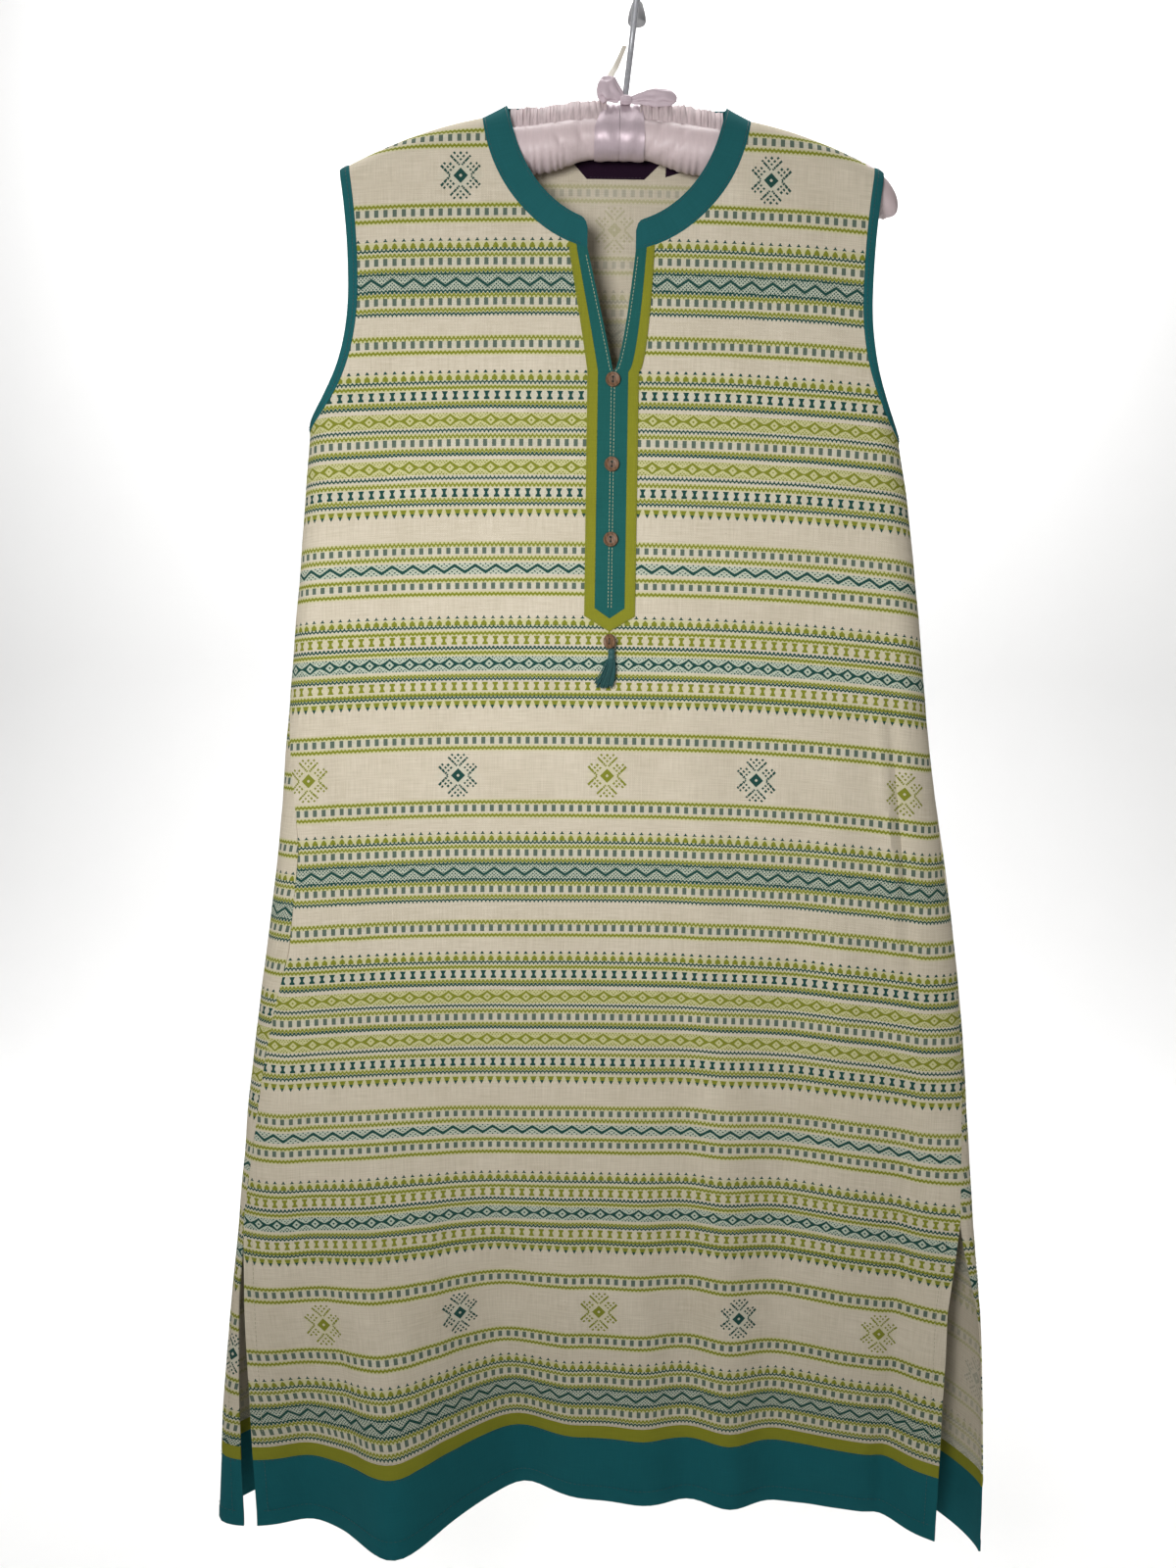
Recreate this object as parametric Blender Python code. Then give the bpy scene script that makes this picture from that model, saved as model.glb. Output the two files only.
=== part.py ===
"""A sleeveless kurta of striped hand-loom cotton, hanging on a padded satin hanger.

Metres, +Z up, front towards -Y. The origin is the inner top of the hanger's hook, where it is held.
The cloth is described by its flat cut: u runs across a panel from its centre line, v runs down it
from the level of the neck-side end of the shoulder seam. Sections through the hanging garment, one
for each height, carry the flat cut into space.
"""

import math

import bpy
import bmesh
import numpy as np
from mathutils import Matrix, Vector

# Cloth and seams
WALL = 0.00125
TRIM = 0.0010
BINDING_THICK = 0.0018
GAP = 0.0003

# Place of the garment's centre line beside the hook
GARMENT_X = -0.0162
HOOK_LEAN = 0.112

# Shoulders: the cloth goes over the padded arm
SHOULDER_TOP = -0.1040
SHOULDER_FLAT = 0.060
SHOULDER_DROP = 0.0420
SHOULDER_HALF = 0.205
SHOULDER_POWER = 1.85
CLOTH_RADIUS = 0.0176
NECK_SIDE = 0.100
DROOP = {-1: 0.009, 1: 0.014}
DROOP_AT = 0.25

# Lengths down the cloth
VEE_BOTTOM = 0.1972
UNDERARM = 0.2272
LIME_TOP = 1.0382
BAND_TOP = 1.0492
HEM = 1.1052

# Neck
FRONT_NECK = 0.1095
BACK_NECK = 0.0235
NECK_BAND = 0.0205
VEE_HALF = {-1: 0.0205, 1: 0.0155}
VEE_POWER = {-1: 1.05, 1: 0.60}

# Armhole
ARMHOLE_TIP = {-1: 0.2075, 1: 0.2010}
ARMHOLE_MID = {-1: 0.1985, 1: 0.1930}
ARMHOLE_MID_V = 0.1322
BINDING = 0.0070

# Placket
TEAL_TOP = 0.0080
TEAL_WIDE = 0.0113
LIME_TOP_WIDTH = 0.0060
LIME_WIDE = 0.0080
TEAL_CORNER = 0.3727
TEAL_POINT = 0.3804
LIME_CORNER = 0.3787
LIME_POINT = 0.3904

# Buttons and tassel
BUTTON_RADIUS = 0.0056
BUTTON_THICK = 0.0024
BUTTONS_AT = (0.2030, 0.2653, 0.3212)
TASSEL_BUTTON_AT = 0.3978
TASSEL_BUTTON_TURN = math.radians(38)
TASSEL_AT = 0.4070
TASSEL_X = 0.0020
TASSEL_HEAD = 0.0028
TASSEL_LENGTH = 0.0235

# Label and tab inside the back neck
LABEL_TOP = 0.0270
LABEL_DEPTH = 0.0170
LABEL_THICK = 0.0005

# Hanger
ARM_RADIUS = 0.0164
ARM_LOW = 0.45
ARM_LEFT = -0.199
ARM_RIGHT = 0.2135
ARM_END = 0.026
RIBBON_CENTRE = 0.0023
RIBBON_WIDTH = 0.0185
RIBBON_THICK = 0.0007
RIBBON_RISE = 0.0085
RIBBON_NARROWS = 0.22
RIBBON_SQUEEZE = 0.0024
RIBBON_REACH = 0.040
FRILL_HIGH = 0.0118
FRILL_THICK = 0.0010
FRILL_WAVE = 0.0013
FRILL_STEP = 0.0052
HOOK_WIRE = 0.00225
KNOT = 0.0034
KNOT_HEIGHT = -0.0942
HOOK_RADIUS = 0.0200
CAP_RADIUS = 0.0070
CAP_LENGTH = 0.0135

# Mesh steps
COLUMNS = 13
LOWER_ROWS = 11
UNDERARM_STEPS = 8
COLUMN_CROWD = 1.2
NECK_HINGE = 0.02
ARM_STATIONS = 11
ARM_SIDES = 18
BUTTON_SIDES = 16

FRONT = 0
BACK = 1

# Sections through the hanging garment.
# height, half width left, half width right, y of left edge, y of right edge,
# depth of front at centre, depth of back at centre, width over which an edge rounds
SECTIONS = (
    (-1.240, 0.3090, 0.3080, -0.0230, -0.0460, 0.0110, 0.0620, 0.110),
    (-1.204, 0.3080, 0.3075, -0.0220, -0.0460, 0.0120, 0.0600, 0.105),
    (-1.050, 0.3000, 0.3020, -0.0160, -0.0450, 0.0185, 0.0500, 0.085),
    (-0.950, 0.2915, 0.2935, -0.0090, -0.0370, 0.0225, 0.0430, 0.065),
    (-0.850, 0.2826, 0.2878, -0.0030, -0.0200, 0.0245, 0.0360, 0.050),
    (-0.750, 0.2709, 0.2804, 0.0000, -0.0070, 0.0248, 0.0310, 0.040),
    (-0.655, 0.2586, 0.2664, 0.0000, 0.0000, 0.0245, 0.0285, 0.034),
    (-0.560, 0.2503, 0.2511, 0.0000, 0.0000, 0.0240, 0.0265, 0.030),
    (-0.470, 0.2424, 0.2397, 0.0000, 0.0000, 0.0235, 0.0250, 0.027),
    (-0.380, 0.2346, 0.2271, 0.0000, 0.0000, 0.0222, 0.0232, 0.024),
    (-0.320, 0.2300, 0.2160, 0.0000, 0.0000, 0.0210, 0.0215, 0.022),
    (-0.230, 0.2290, 0.2150, 0.0000, 0.0000, 0.0187, 0.0187, 0.020),
    (-0.160, 0.2290, 0.2150, 0.0000, 0.0000, 0.0176, 0.0176, 0.020),
    (-0.080, 0.2290, 0.2150, 0.0000, 0.0000, 0.0176, 0.0176, 0.020),
)
EDGE_CURL = {-1: 3, 1: 6}

# Folds: x at the start, x at the hem, half width, depth at the hem (+ stands out), height of the start, growth
FRONT_FOLDS = (
    (-0.186, -0.156, 0.040, 0.057, -0.80, 2.0),
    (-0.100, -0.060, 0.030, -0.024, -0.84, 1.6),
    (0.020, 0.040, 0.022, 0.006, -0.78, 1.3),
    (0.060, 0.075, 0.018, -0.005, -0.70, 1.0),
    (0.083, 0.110, 0.018, 0.008, -0.55, 1.0),
    (0.140, 0.145, 0.018, -0.005, -0.70, 1.0),
    (0.197, 0.195, 0.022, 0.005, -0.60, 0.8),
    (0.238, 0.240, 0.014, -0.012, -0.80, 1.0),
    (-0.236, -0.236, 0.020, -0.006, -0.70, 1.0),
    (0.190, 0.200, 0.050, -0.016, -1.02, 1.4),
)
BACK_FOLDS = (
    (-0.150, -0.165, 0.040, -0.030, -0.78, 1.6),
    (-0.070, -0.075, 0.030, 0.016, -0.70, 1.3),
    (0.020, 0.015, 0.034, -0.012, -0.66, 1.2),
    (0.090, 0.105, 0.028, 0.014, -0.72, 1.2),
    (0.180, 0.185, 0.034, -0.012, -0.76, 1.3),
)

# Side seams: height, left and right shift of the seam to the front, left and right width of the slit
SEAMS = (
    (-1.240, 0.0350, 0.0200, 0.0110, 0.0390),
    (-1.204, 0.0340, 0.0200, 0.0105, 0.0380),
    (-1.100, 0.0260, 0.0190, 0.0085, 0.0330),
    (-1.020, 0.0190, 0.0180, 0.0055, 0.0240),
    (-0.965, 0.0160, 0.0180, 0.0000, 0.0050),
    (-0.945, 0.0160, 0.0175, 0.0000, 0.0000),
    (-0.900, 0.0200, 0.0160, 0.0000, 0.0000),
    (-0.800, 0.0270, 0.0110, 0.0000, 0.0000),
    (-0.740, 0.0360, 0.0090, 0.0000, 0.0000),
    (-0.660, 0.0340, 0.0100, 0.0000, 0.0000),
    (-0.600, 0.0220, 0.0090, 0.0000, 0.0000),
    (-0.520, 0.0040, 0.0040, 0.0000, 0.0000),
    (-0.400, 0.0000, 0.0000, 0.0000, 0.0000),
    (-0.080, 0.0000, 0.0000, 0.0000, 0.0000),
)

# Colours, linear
CREAM = (0.600, 0.545, 0.420)
TEAL = (0.0125, 0.0870, 0.0930)
DEEP_TEAL = (0.0085, 0.0680, 0.0730)
LIME = (0.2423, 0.2423, 0.0300)
SATIN = (0.6038, 0.4969, 0.5029)
RIBBON = (0.560, 0.455, 0.490)
METAL = (0.485, 0.465, 0.476)
CAP_GREY = (0.300, 0.300, 0.310)
WOOD = (0.190, 0.085, 0.035)
LABEL_DARK = (0.0137, 0.0044, 0.0130)


def smooth(knots, values, at):
    """Values read off a smooth curve through the rows of a table."""
    knots = np.asarray(knots, float)
    values = np.asarray(values, float)
    slopes = np.gradient(values, knots)
    i = np.clip(np.searchsorted(knots, at) - 1, 0, len(knots) - 2)
    width = knots[i + 1] - knots[i]
    t = np.clip((at - knots[i]) / width, 0.0, 1.0)
    start = (1 + 2 * t) * (1 - t) ** 2 * values[i] + t * (1 - t) ** 2 * width * slopes[i]
    end = t * t * (3 - 2 * t) * values[i + 1] + t * t * (t - 1) * width * slopes[i + 1]
    return start + end


def fold_depth(folds, x, height):
    depth = np.zeros_like(x)
    for x_start, x_hem, half_width, at_hem, start, growth in folds:
        grown = np.clip((start - height) / (start - SECTIONS[1][0]), 0.0, 1.2)
        centre = x_start + (x_hem - x_start) * grown
        depth += at_hem * grown**growth * np.exp(-(((x - centre) / half_width) ** 2))
    return depth


def section_outline(height):
    """Front and back lines of the section at one height, each from its left edge to its right edge."""
    knots = [row[0] for row in SECTIONS]
    columns = [smooth(knots, [row[i] for row in SECTIONS], height) for i in range(1, 8)]
    left, right, y_left, y_right, front, back, rounding = columns
    across = np.sin(np.linspace(-math.pi / 2, math.pi / 2, 361))
    is_left = across < 0
    half_width = np.where(is_left, left, right)
    x = across * half_width
    edge = np.abs(across)
    curl = np.where(is_left, edge ** EDGE_CURL[-1], edge ** EDGE_CURL[1])
    middle = (back - front) / 2
    line = middle + (np.where(is_left, y_left, y_right) - middle) * curl
    flat_until = 1 - rounding / half_width
    turn = np.clip((edge - flat_until) / (1 - flat_until), 0.0, 1.0)
    half_depth = (back + front) / 2 * np.sqrt(1 - turn**2)
    keep_edge = 1 - edge**12
    y_front = line - half_depth - fold_depth(FRONT_FOLDS, x, height) * keep_edge
    y_back = line + half_depth + fold_depth(BACK_FOLDS, x, height) * keep_edge
    return np.stack([x, y_front], -1), np.stack([x, y_back], -1)


class Sections:
    """The garment's sections, stored by height and by place along each face.

    A place is the distance from the centre line as a share of the distance to the edge on its side.
    """

    around = 90
    step = 0.0025

    def __init__(self):
        self.heights = np.linspace(-1.236, -0.084, 145)
        self.places = np.arange(-540, 541) * self.step
        self.points = np.zeros((2, len(self.heights), len(self.places), 2))
        self.edges = np.zeros((2, len(self.heights), 2))
        for k, height in enumerate(self.heights):
            front, back = section_outline(height)
            for face, near, far in ((FRONT, front, back), (BACK, back, front)):
                self.store(face, k, near, far)

    def store(self, face, k, near, far):
        n = self.around
        line = np.concatenate([far[n:0:-1], near, far[-2 : -n - 2 : -1]])
        length = np.concatenate([[0], np.cumsum(np.linalg.norm(np.diff(line, axis=0), axis=1))])
        length -= length[n + len(near) // 2]
        left, right = -length[n], length[n + len(near) - 1]
        along = self.places * np.where(self.places < 0, left, right)
        self.points[face, k, :, 0] = np.interp(along, length, line[:, 0])
        self.points[face, k, :, 1] = np.interp(along, length, line[:, 1])
        self.edges[face, k] = left, right

    def edge(self, height, face, side):
        """Distance along a face from its centre line to its left or right edge."""
        front = np.interp(height, self.heights, self.edges[FRONT, :, 0 if side < 0 else 1])
        back = np.interp(height, self.heights, self.edges[BACK, :, 0 if side < 0 else 1])
        return np.where(face == FRONT, front, back)

    def at(self, u, height, face):
        """x and y of points u along a face at a height."""
        place = u / np.where(u < 0, self.edge(height, face, -1), self.edge(height, face, 1))
        step = self.heights[1] - self.heights[0]
        row = np.clip((height - self.heights[0]) / step, 0, len(self.heights) - 1.001)
        column = np.clip((place - self.places[0]) / self.step, 0, len(self.places) - 1.001)
        i, j = row.astype(int), column.astype(int)
        s, t = (row - i)[..., None], (column - j)[..., None]
        near = self.points[face, i, j] * (1 - t) + self.points[face, i, j + 1] * t
        far = self.points[face, i + 1, j] * (1 - t) + self.points[face, i + 1, j + 1] * t
        return near * (1 - s) + far * s


sections = Sections()


def shoulder_height(u):
    """Top of the cloth over the arm: level in the middle, then falling to the tips."""
    out = np.maximum(np.abs(u) - SHOULDER_FLAT, 0.0) / (SHOULDER_HALF - SHOULDER_FLAT)
    return SHOULDER_TOP - SHOULDER_DROP * out**SHOULDER_POWER


NECK_SIDE_HEIGHT = float(shoulder_height(NECK_SIDE))


def droop(u):
    """How far the weave lines sag towards the sides."""
    side = np.where(np.asarray(u) < 0, DROOP[-1], DROOP[1])
    return side * (np.minimum(np.abs(u), DROOP_AT) / DROOP_AT) ** 2.5


def shoulder_cut(u):
    """v of the shoulder seam."""
    return NECK_SIDE_HEIGHT - shoulder_height(u) - droop(u)


def height_of(u, v):
    """Height of a point that hangs free of the hanger."""
    return NECK_SIDE_HEIGHT + CLOTH_RADIUS * (math.pi / 2 - 1) - v - droop(u)


def surface(u, v, face):
    """Middle of the cloth at flat point u, v of a face."""
    travel = v - shoulder_cut(u)
    angle = np.clip(travel / CLOTH_RADIUS, -math.pi / 2, math.pi / 2)
    on_arm = np.abs(travel) < CLOTH_RADIUS * math.pi / 2
    over_arm = CLOTH_RADIUS * (1 - np.cos(angle))
    below_arm = np.abs(travel) + CLOTH_RADIUS * (1 - math.pi / 2)
    height = shoulder_height(u) - np.where(on_arm, over_arm, below_arm)
    xy = sections.at(u, height, face)
    return np.stack([xy[..., 0] + GARMENT_X, xy[..., 1] * np.sin(angle), height], -1)


def cloth(flat, face):
    """Places and outward directions of flat points."""
    u, v = flat[:, 0], flat[:, 1]
    face = np.broadcast_to(face, u.shape)
    step = 0.0004
    across = surface(u + step, v, face) - surface(u - step, v, face)
    down = surface(u, v + step, face) - surface(u, v - step, face)
    out = np.cross(across, down)
    out /= np.linalg.norm(out, axis=1, keepdims=True)
    return surface(u, v, face), out * np.where(face == FRONT, -1.0, 1.0)[:, None]


# Flat outlines


def side_edge(v, face, side):
    """u of a panel's edge at the side seam and, below it, along the slit."""
    knots = [row[0] for row in SEAMS]
    u = side * DROOP_AT
    for _ in range(4):
        height = height_of(u, v)
        shift = np.interp(height, knots, [row[1 if side < 0 else 2] for row in SEAMS])
        slit = np.interp(height, knots, [row[3 if side < 0 else 4] for row in SEAMS])
        turned = -shift if face == FRONT else shift
        u = side * (sections.edge(height, face, side) + turned - slit / 2 - GAP / 2)
    return float(u)


def neck_point(travel, half, depth, side):
    """Point of a neck curve, given by the distance from the shoulder line."""
    reach = depth - float(shoulder_cut(0.0))
    u = half * math.sqrt(max(0.0, 1 - (travel / reach) ** 2))
    return side * u, travel + float(shoulder_cut(side * u))


def neck_travel(u, half, depth):
    reach = depth - float(shoulder_cut(0.0))
    return reach * math.sqrt(1 - (u / half) ** 2)


def vee_edge(v, side):
    """u of the slit's edge, open at the neck and closed at the first button."""
    top = neck_point(neck_travel(VEE_HALF[side], NECK_SIDE, FRONT_NECK), NECK_SIDE, FRONT_NECK, side)[1]
    t = np.clip((v - top) / (VEE_BOTTOM - top), 0.0, 1.0)
    return side * VEE_HALF[side] * (1 - t) ** VEE_POWER[side]


ARM_TRAVELS = [GAP / 2] + [0.0057 * k for k in range(1, 6)]
NECK_RUN = (0.20, 0.39, 0.57, 0.73, 0.87, 1.0)
BACK_NECK_TURNS = (12, 25, 39, 53, 66, 78, 90)


def armhole_line(face, side, inset):
    """Points of the armhole's edge from the shoulder to the underarm, inset by the binding or by nothing."""
    tip = ARMHOLE_TIP[side] - inset
    middle = ARMHOLE_MID[side] - inset
    bottom = UNDERARM + inset
    under = abs(side_edge(bottom, face, side))
    top = float(shoulder_cut(side * tip))
    points = []
    upper = [top + a for a in ARM_TRAVELS] + [0.066, 0.080, 0.097, 0.115]
    for v in upper:
        q = (v - top) / (ARMHOLE_MID_V - top)
        points.append((side * (middle + (tip - middle) * (1 - q) ** 2), v))
    for k in range(UNDERARM_STEPS + 1):
        turn = math.pi / 2 * k / UNDERARM_STEPS
        u = middle + (under - middle) * (1 - math.cos(turn))
        points.append((side * u, ARMHOLE_MID_V + (bottom - ARMHOLE_MID_V) * math.sin(turn)))
    return points


def front_inner(side):
    """Front panel's inner edge: neck, slit."""
    corner = neck_travel(VEE_HALF[side], NECK_SIDE, FRONT_NECK)
    last = ARM_TRAVELS[-1]
    travels = ARM_TRAVELS + [last + (corner - last) * f for f in NECK_RUN]
    points = [neck_point(a, NECK_SIDE, FRONT_NECK, side) for a in travels]
    top = points[-1][1]
    steps = UNDERARM_STEPS - 1
    for k in range(1, steps + 1):
        v = top + (VEE_BOTTOM - top) * k / steps
        points.append((float(vee_edge(v, side)), v))
    return points


def back_inner(side):
    """Back panel's inner edge: neck, then the first stretch of its centre line."""
    reach = BACK_NECK - float(shoulder_cut(0.0))
    travels = [GAP / 2] + [reach * math.sin(math.radians(turn)) for turn in BACK_NECK_TURNS]
    points = [neck_point(a, NECK_SIDE, BACK_NECK, side) for a in travels]
    left = len(front_inner(side)) - len(points)
    return points + [(0.0, v) for v in np.linspace(BACK_NECK, VEE_BOTTOM, left + 1)[1:]]


def spread(count):
    """Fractions from a panel's centre to its side, closer together at the side."""
    return [1 - (1 - j / count) ** COLUMN_CROWD for j in range(count + 1)]


def half_panel(inner, outer, face, side, bottom):
    """Rows of flat points of half a panel, from its inner to its outer edge."""
    start_inner, start_outer = inner[-1][1], outer[-1][1]
    for k in range(1, LOWER_ROWS + 1):
        part = k / LOWER_ROWS
        v = start_outer + (bottom - start_outer) * part
        inner = inner + [(0.0, start_inner + (bottom - start_inner) * part)]
        outer = outer + [(side_edge(v, face, side), v)]
    rows = []
    on_arm = len(ARM_TRAVELS)
    for k, (near, far) in enumerate(zip(inner, outer)):
        free = min(1.0, max(0.0, (k - on_arm + 1) / 4))
        row = []
        for part in spread(COLUMNS):
            u = near[0] + (far[0] - near[0]) * part
            v_straight = near[1] + (far[1] - near[1]) * part
            ends = [p[1] - float(shoulder_cut(p[0])) for p in (near, far)]
            v_seam = ends[0] + (ends[1] - ends[0]) * part + float(shoulder_cut(u))
            row.append((u, v_seam * (1 - free) + v_straight * free))
        rows.append(row if side > 0 else row[::-1])
    return rows


def across_rows(levels, face):
    """Rows of flat points from side to side of a panel at given lengths down it."""
    rows = []
    for v in levels:
        left, right = side_edge(v, face, -1), side_edge(v, face, 1)
        parts = spread(COLUMNS)
        rows.append([(left * f, v) for f in reversed(parts)] + [(right * f, v) for f in parts[1:]])
    return rows


def grid(rows):
    points = np.array(rows, float)
    count, width = points.shape[:2]
    index = np.arange(count * width).reshape(count, width)
    corners = [index[:-1, :-1], index[:-1, 1:], index[1:, 1:], index[1:, :-1]]
    return points.reshape(-1, 2), np.stack(corners, -1).reshape(-1, 4)


def joined(patches):
    """One set of points and quads from patches that share points."""
    points, quads, start = [], [], 0
    for patch_points, patch_quads in patches:
        points.append(patch_points)
        quads.append(patch_quads + start)
        start += len(patch_points)
    points, quads = np.concatenate(points), np.concatenate(quads)
    shared = np.round(points, 7) + 0.0
    _, first, index = np.unique(shared, axis=0, return_index=True, return_inverse=True)
    return points[first], index.reshape(-1)[quads]


# Objects


def material(name, colour, roughness, metallic=0.0):
    made = bpy.data.materials.new(name)
    made.use_nodes = True
    shader = made.node_tree.nodes["Principled BSDF"]
    shader.inputs["Base Color"].default_value = (*colour, 1.0)
    shader.inputs["Roughness"].default_value = roughness
    shader.inputs["Metallic"].default_value = metallic
    made.diffuse_color = (*colour, 1.0)
    return made


def add_object(name, points, faces, look, smooth_angle=math.radians(40)):
    mesh = bpy.data.meshes.new(name)
    mesh.from_pydata([tuple(map(float, p)) for p in points], [], [tuple(map(int, f)) for f in faces])
    shape = bmesh.new()
    shape.from_mesh(mesh)
    bmesh.ops.recalc_face_normals(shape, faces=shape.faces)
    if shape.calc_volume(signed=True) < 0:
        bmesh.ops.reverse_faces(shape, faces=shape.faces)
    shape.to_mesh(mesh)
    shape.free()
    mesh.materials.append(material(name, *look))
    mesh.shade_smooth()
    mesh.set_sharp_from_angle(angle=smooth_angle)
    made = bpy.data.objects.new(name, mesh)
    bpy.context.scene.collection.objects.link(made)
    return made


def add_closed(name, outer, inner, quads, look):
    """A closed body between two like sheets of points, both split along the same diagonals."""
    count = len(outer)
    faces = [list(q) for q in quads] + [[i + count for i in (q[0], q[3], q[2], q[1])] for q in quads]
    sides = {(int(a), int(b)) for quad in quads for a, b in zip(quad, np.roll(quad, -1))}
    for a, b in sorted(sides):
        if (b, a) not in sides:
            faces.append([b, a, a + count, b + count])
    return add_object(name, np.concatenate([outer, inner]), faces, look)


def add_wall(name, flat, quads, face, look, thick=WALL, lift=0.0):
    """A closed wall of cloth on the surface, moved out by lift."""
    places, out = cloth(flat, face)
    return add_closed(name, places + out * (lift + thick / 2), places + out * (lift - thick / 2), quads, look)


def strip(path_a, path_b):
    """A flat strip between two paths of equally many points."""
    return grid([[a, b] for a, b in zip(path_a, path_b)])


def trim_lift():
    return WALL / 2 + GAP + TRIM / 2


# Cloth pieces


def build_panels():
    look = (CREAM, 0.85)
    halves = [grid(half_panel(front_inner(s), armhole_line(FRONT, s, BINDING + GAP), FRONT, s, LIME_TOP - GAP))
              for s in (-1, 1)]
    add_wall("front_panel", *joined(halves), FRONT, look)
    halves = [grid(half_panel(back_inner(s), armhole_line(BACK, s, BINDING + GAP), BACK, s, LIME_TOP - GAP))
              for s in (-1, 1)]
    add_wall("back_panel", *joined(halves), BACK, look)


def build_hems():
    for face, name in ((FRONT, "front"), (BACK, "back")):
        lime = across_rows((LIME_TOP, BAND_TOP - GAP), face)
        add_wall(f"{name}_lime_strip", *grid(lime), face, (LIME, 0.8))
        teal = across_rows((BAND_TOP, (BAND_TOP + HEM) / 2, HEM), face)
        add_wall(f"{name}_hem_band", *grid(teal), face, (DEEP_TEAL, 0.8))


def add_grid_wall(name, places, out_hint, look, thick=WALL):
    """A closed wall through rows of places, thickened both ways. out_hint points out at the first place."""
    along, over = np.gradient(places, axis=0), np.gradient(places, axis=1)
    out = np.cross(along, over)
    out /= np.linalg.norm(out, axis=2, keepdims=True)
    if np.dot(out[0, 0], out_hint) < 0:
        out = -out
    count, width = places.shape[:2]
    outer = (places + out * thick / 2).reshape(-1, 3)
    inner = (places - out * thick / 2).reshape(-1, 3)
    _, quads = grid(np.zeros((count, width, 2)))
    add_closed(name, outer, inner, quads, look)


def build_neck_band():
    """One band all round the neck, open at the slit. It lies flat in front and stands up behind."""
    half_in, half_out = NECK_SIDE - NECK_BAND, NECK_SIDE - GAP
    ends = {s: (neck_travel(VEE_HALF[s], half_out, FRONT_NECK - GAP),
                neck_travel(VEE_HALF[s], half_in, FRONT_NECK - NECK_BAND)) for s in (-1, 1)}
    arm = [0.0] + ARM_TRAVELS[1:]
    stations = []
    for side in (-1, 1):
        run = [(arm[-1] + (ends[side][0] - arm[-1]) * f, arm[-1] + (ends[side][1] - arm[-1]) * f)
               for f in reversed(NECK_RUN)]
        half = [(side, FRONT, *travels) for travels in run + [(a, a) for a in reversed(arm)]]
        stations.append(half)
    reach = BACK_NECK - GAP - float(shoulder_cut(0.0))
    back = [(-1, BACK, reach * math.sin(math.radians(turn)), 0.0) for turn in BACK_NECK_TURNS]
    back += [(1, *station[1:]) for station in back[-2::-1]]
    rows = []
    for side, face, travel_out, travel_in in stations[0] + back + stations[1][::-1]:
        depth = FRONT_NECK - GAP if face == FRONT else BACK_NECK - GAP
        at = neck_point(travel_out, half_out, depth, side)
        foot = surface(np.array([at[0]]), np.array([at[1]]), np.array([face]))[0]
        side_rise = np.array((-side * 0.0176, 0.0, 0.0105))
        if face == FRONT:
            top = neck_point(travel_in, half_in, FRONT_NECK - NECK_BAND, side)
            lying = surface(np.array([top[0]]), np.array([top[1]]), np.array([FRONT]))[0] - foot
            flat = min(1.0, travel_out / arm[-1])
            rise = side_rise * (1 - flat) + lying * flat
        else:
            centre = math.sin(math.pi / 2 * travel_out / reach) ** 2.2
            rise = side_rise * (1 - centre) + np.array((0.0, -0.0020, 0.0203)) * centre
            foot = foot + rise * NECK_HINGE
            rise = rise * (NECK_BAND / np.linalg.norm(rise))
        rows.append([foot + rise * f for f in (0, 0.34, 0.67, 1)])
    add_grid_wall("neck_band", np.array(rows), np.array((0.0, -1.0, 0.0)), (TEAL, 0.8))


def build_armhole_bindings():
    for side, name in ((-1, "left"), (1, "right")):
        outer, inner, faces = [], [], []
        for face in (FRONT, BACK):
            edge = armhole_line(face, side, 0.0)
            seam = armhole_line(face, side, BINDING)
            edge[0] = (edge[0][0], edge[0][1] - GAP / 2)
            seam[0] = (seam[0][0], seam[0][1] - GAP / 2)
            if face == BACK:
                edge, seam = edge[::-1], seam[::-1]
            else:
                edge, seam = edge[:0:-1] + edge[:1], seam[:0:-1] + seam[:1]
            if face == BACK:
                edge, seam = edge[::-1][1:], seam[::-1][1:]
            outer += edge
            inner += seam
            faces += [face] * len(edge)
        flat, quads = strip(outer, inner)
        add_wall(f"armhole_binding_{name}", flat, quads, np.repeat(faces, 2), (TEAL, 0.8), BINDING_THICK)


def placket_widths(v):
    part = np.clip((v - FRONT_NECK) / (VEE_BOTTOM - FRONT_NECK), 0.0, 1.0)
    return TEAL_TOP + (TEAL_WIDE - TEAL_TOP) * part, LIME_TOP_WIDTH + (LIME_WIDE - LIME_TOP_WIDTH) * part


def placket_levels(side):
    top = neck_point(neck_travel(VEE_HALF[side], NECK_SIDE, FRONT_NECK), NECK_SIDE, FRONT_NECK, side)[1]
    levels = [top + (VEE_BOTTOM - top) * k / 6 for k in range(7)]
    return levels + [VEE_BOTTOM + (TEAL_CORNER - VEE_BOTTOM) * k / 6 for k in range(1, 7)]


def under_band(u, v):
    """A placket point, kept below the neck band's seam."""
    travel = neck_travel(min(abs(u), NECK_SIDE), NECK_SIDE, FRONT_NECK)
    seam = travel + float(shoulder_cut(u))
    return u, max(v, seam + GAP)


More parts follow.
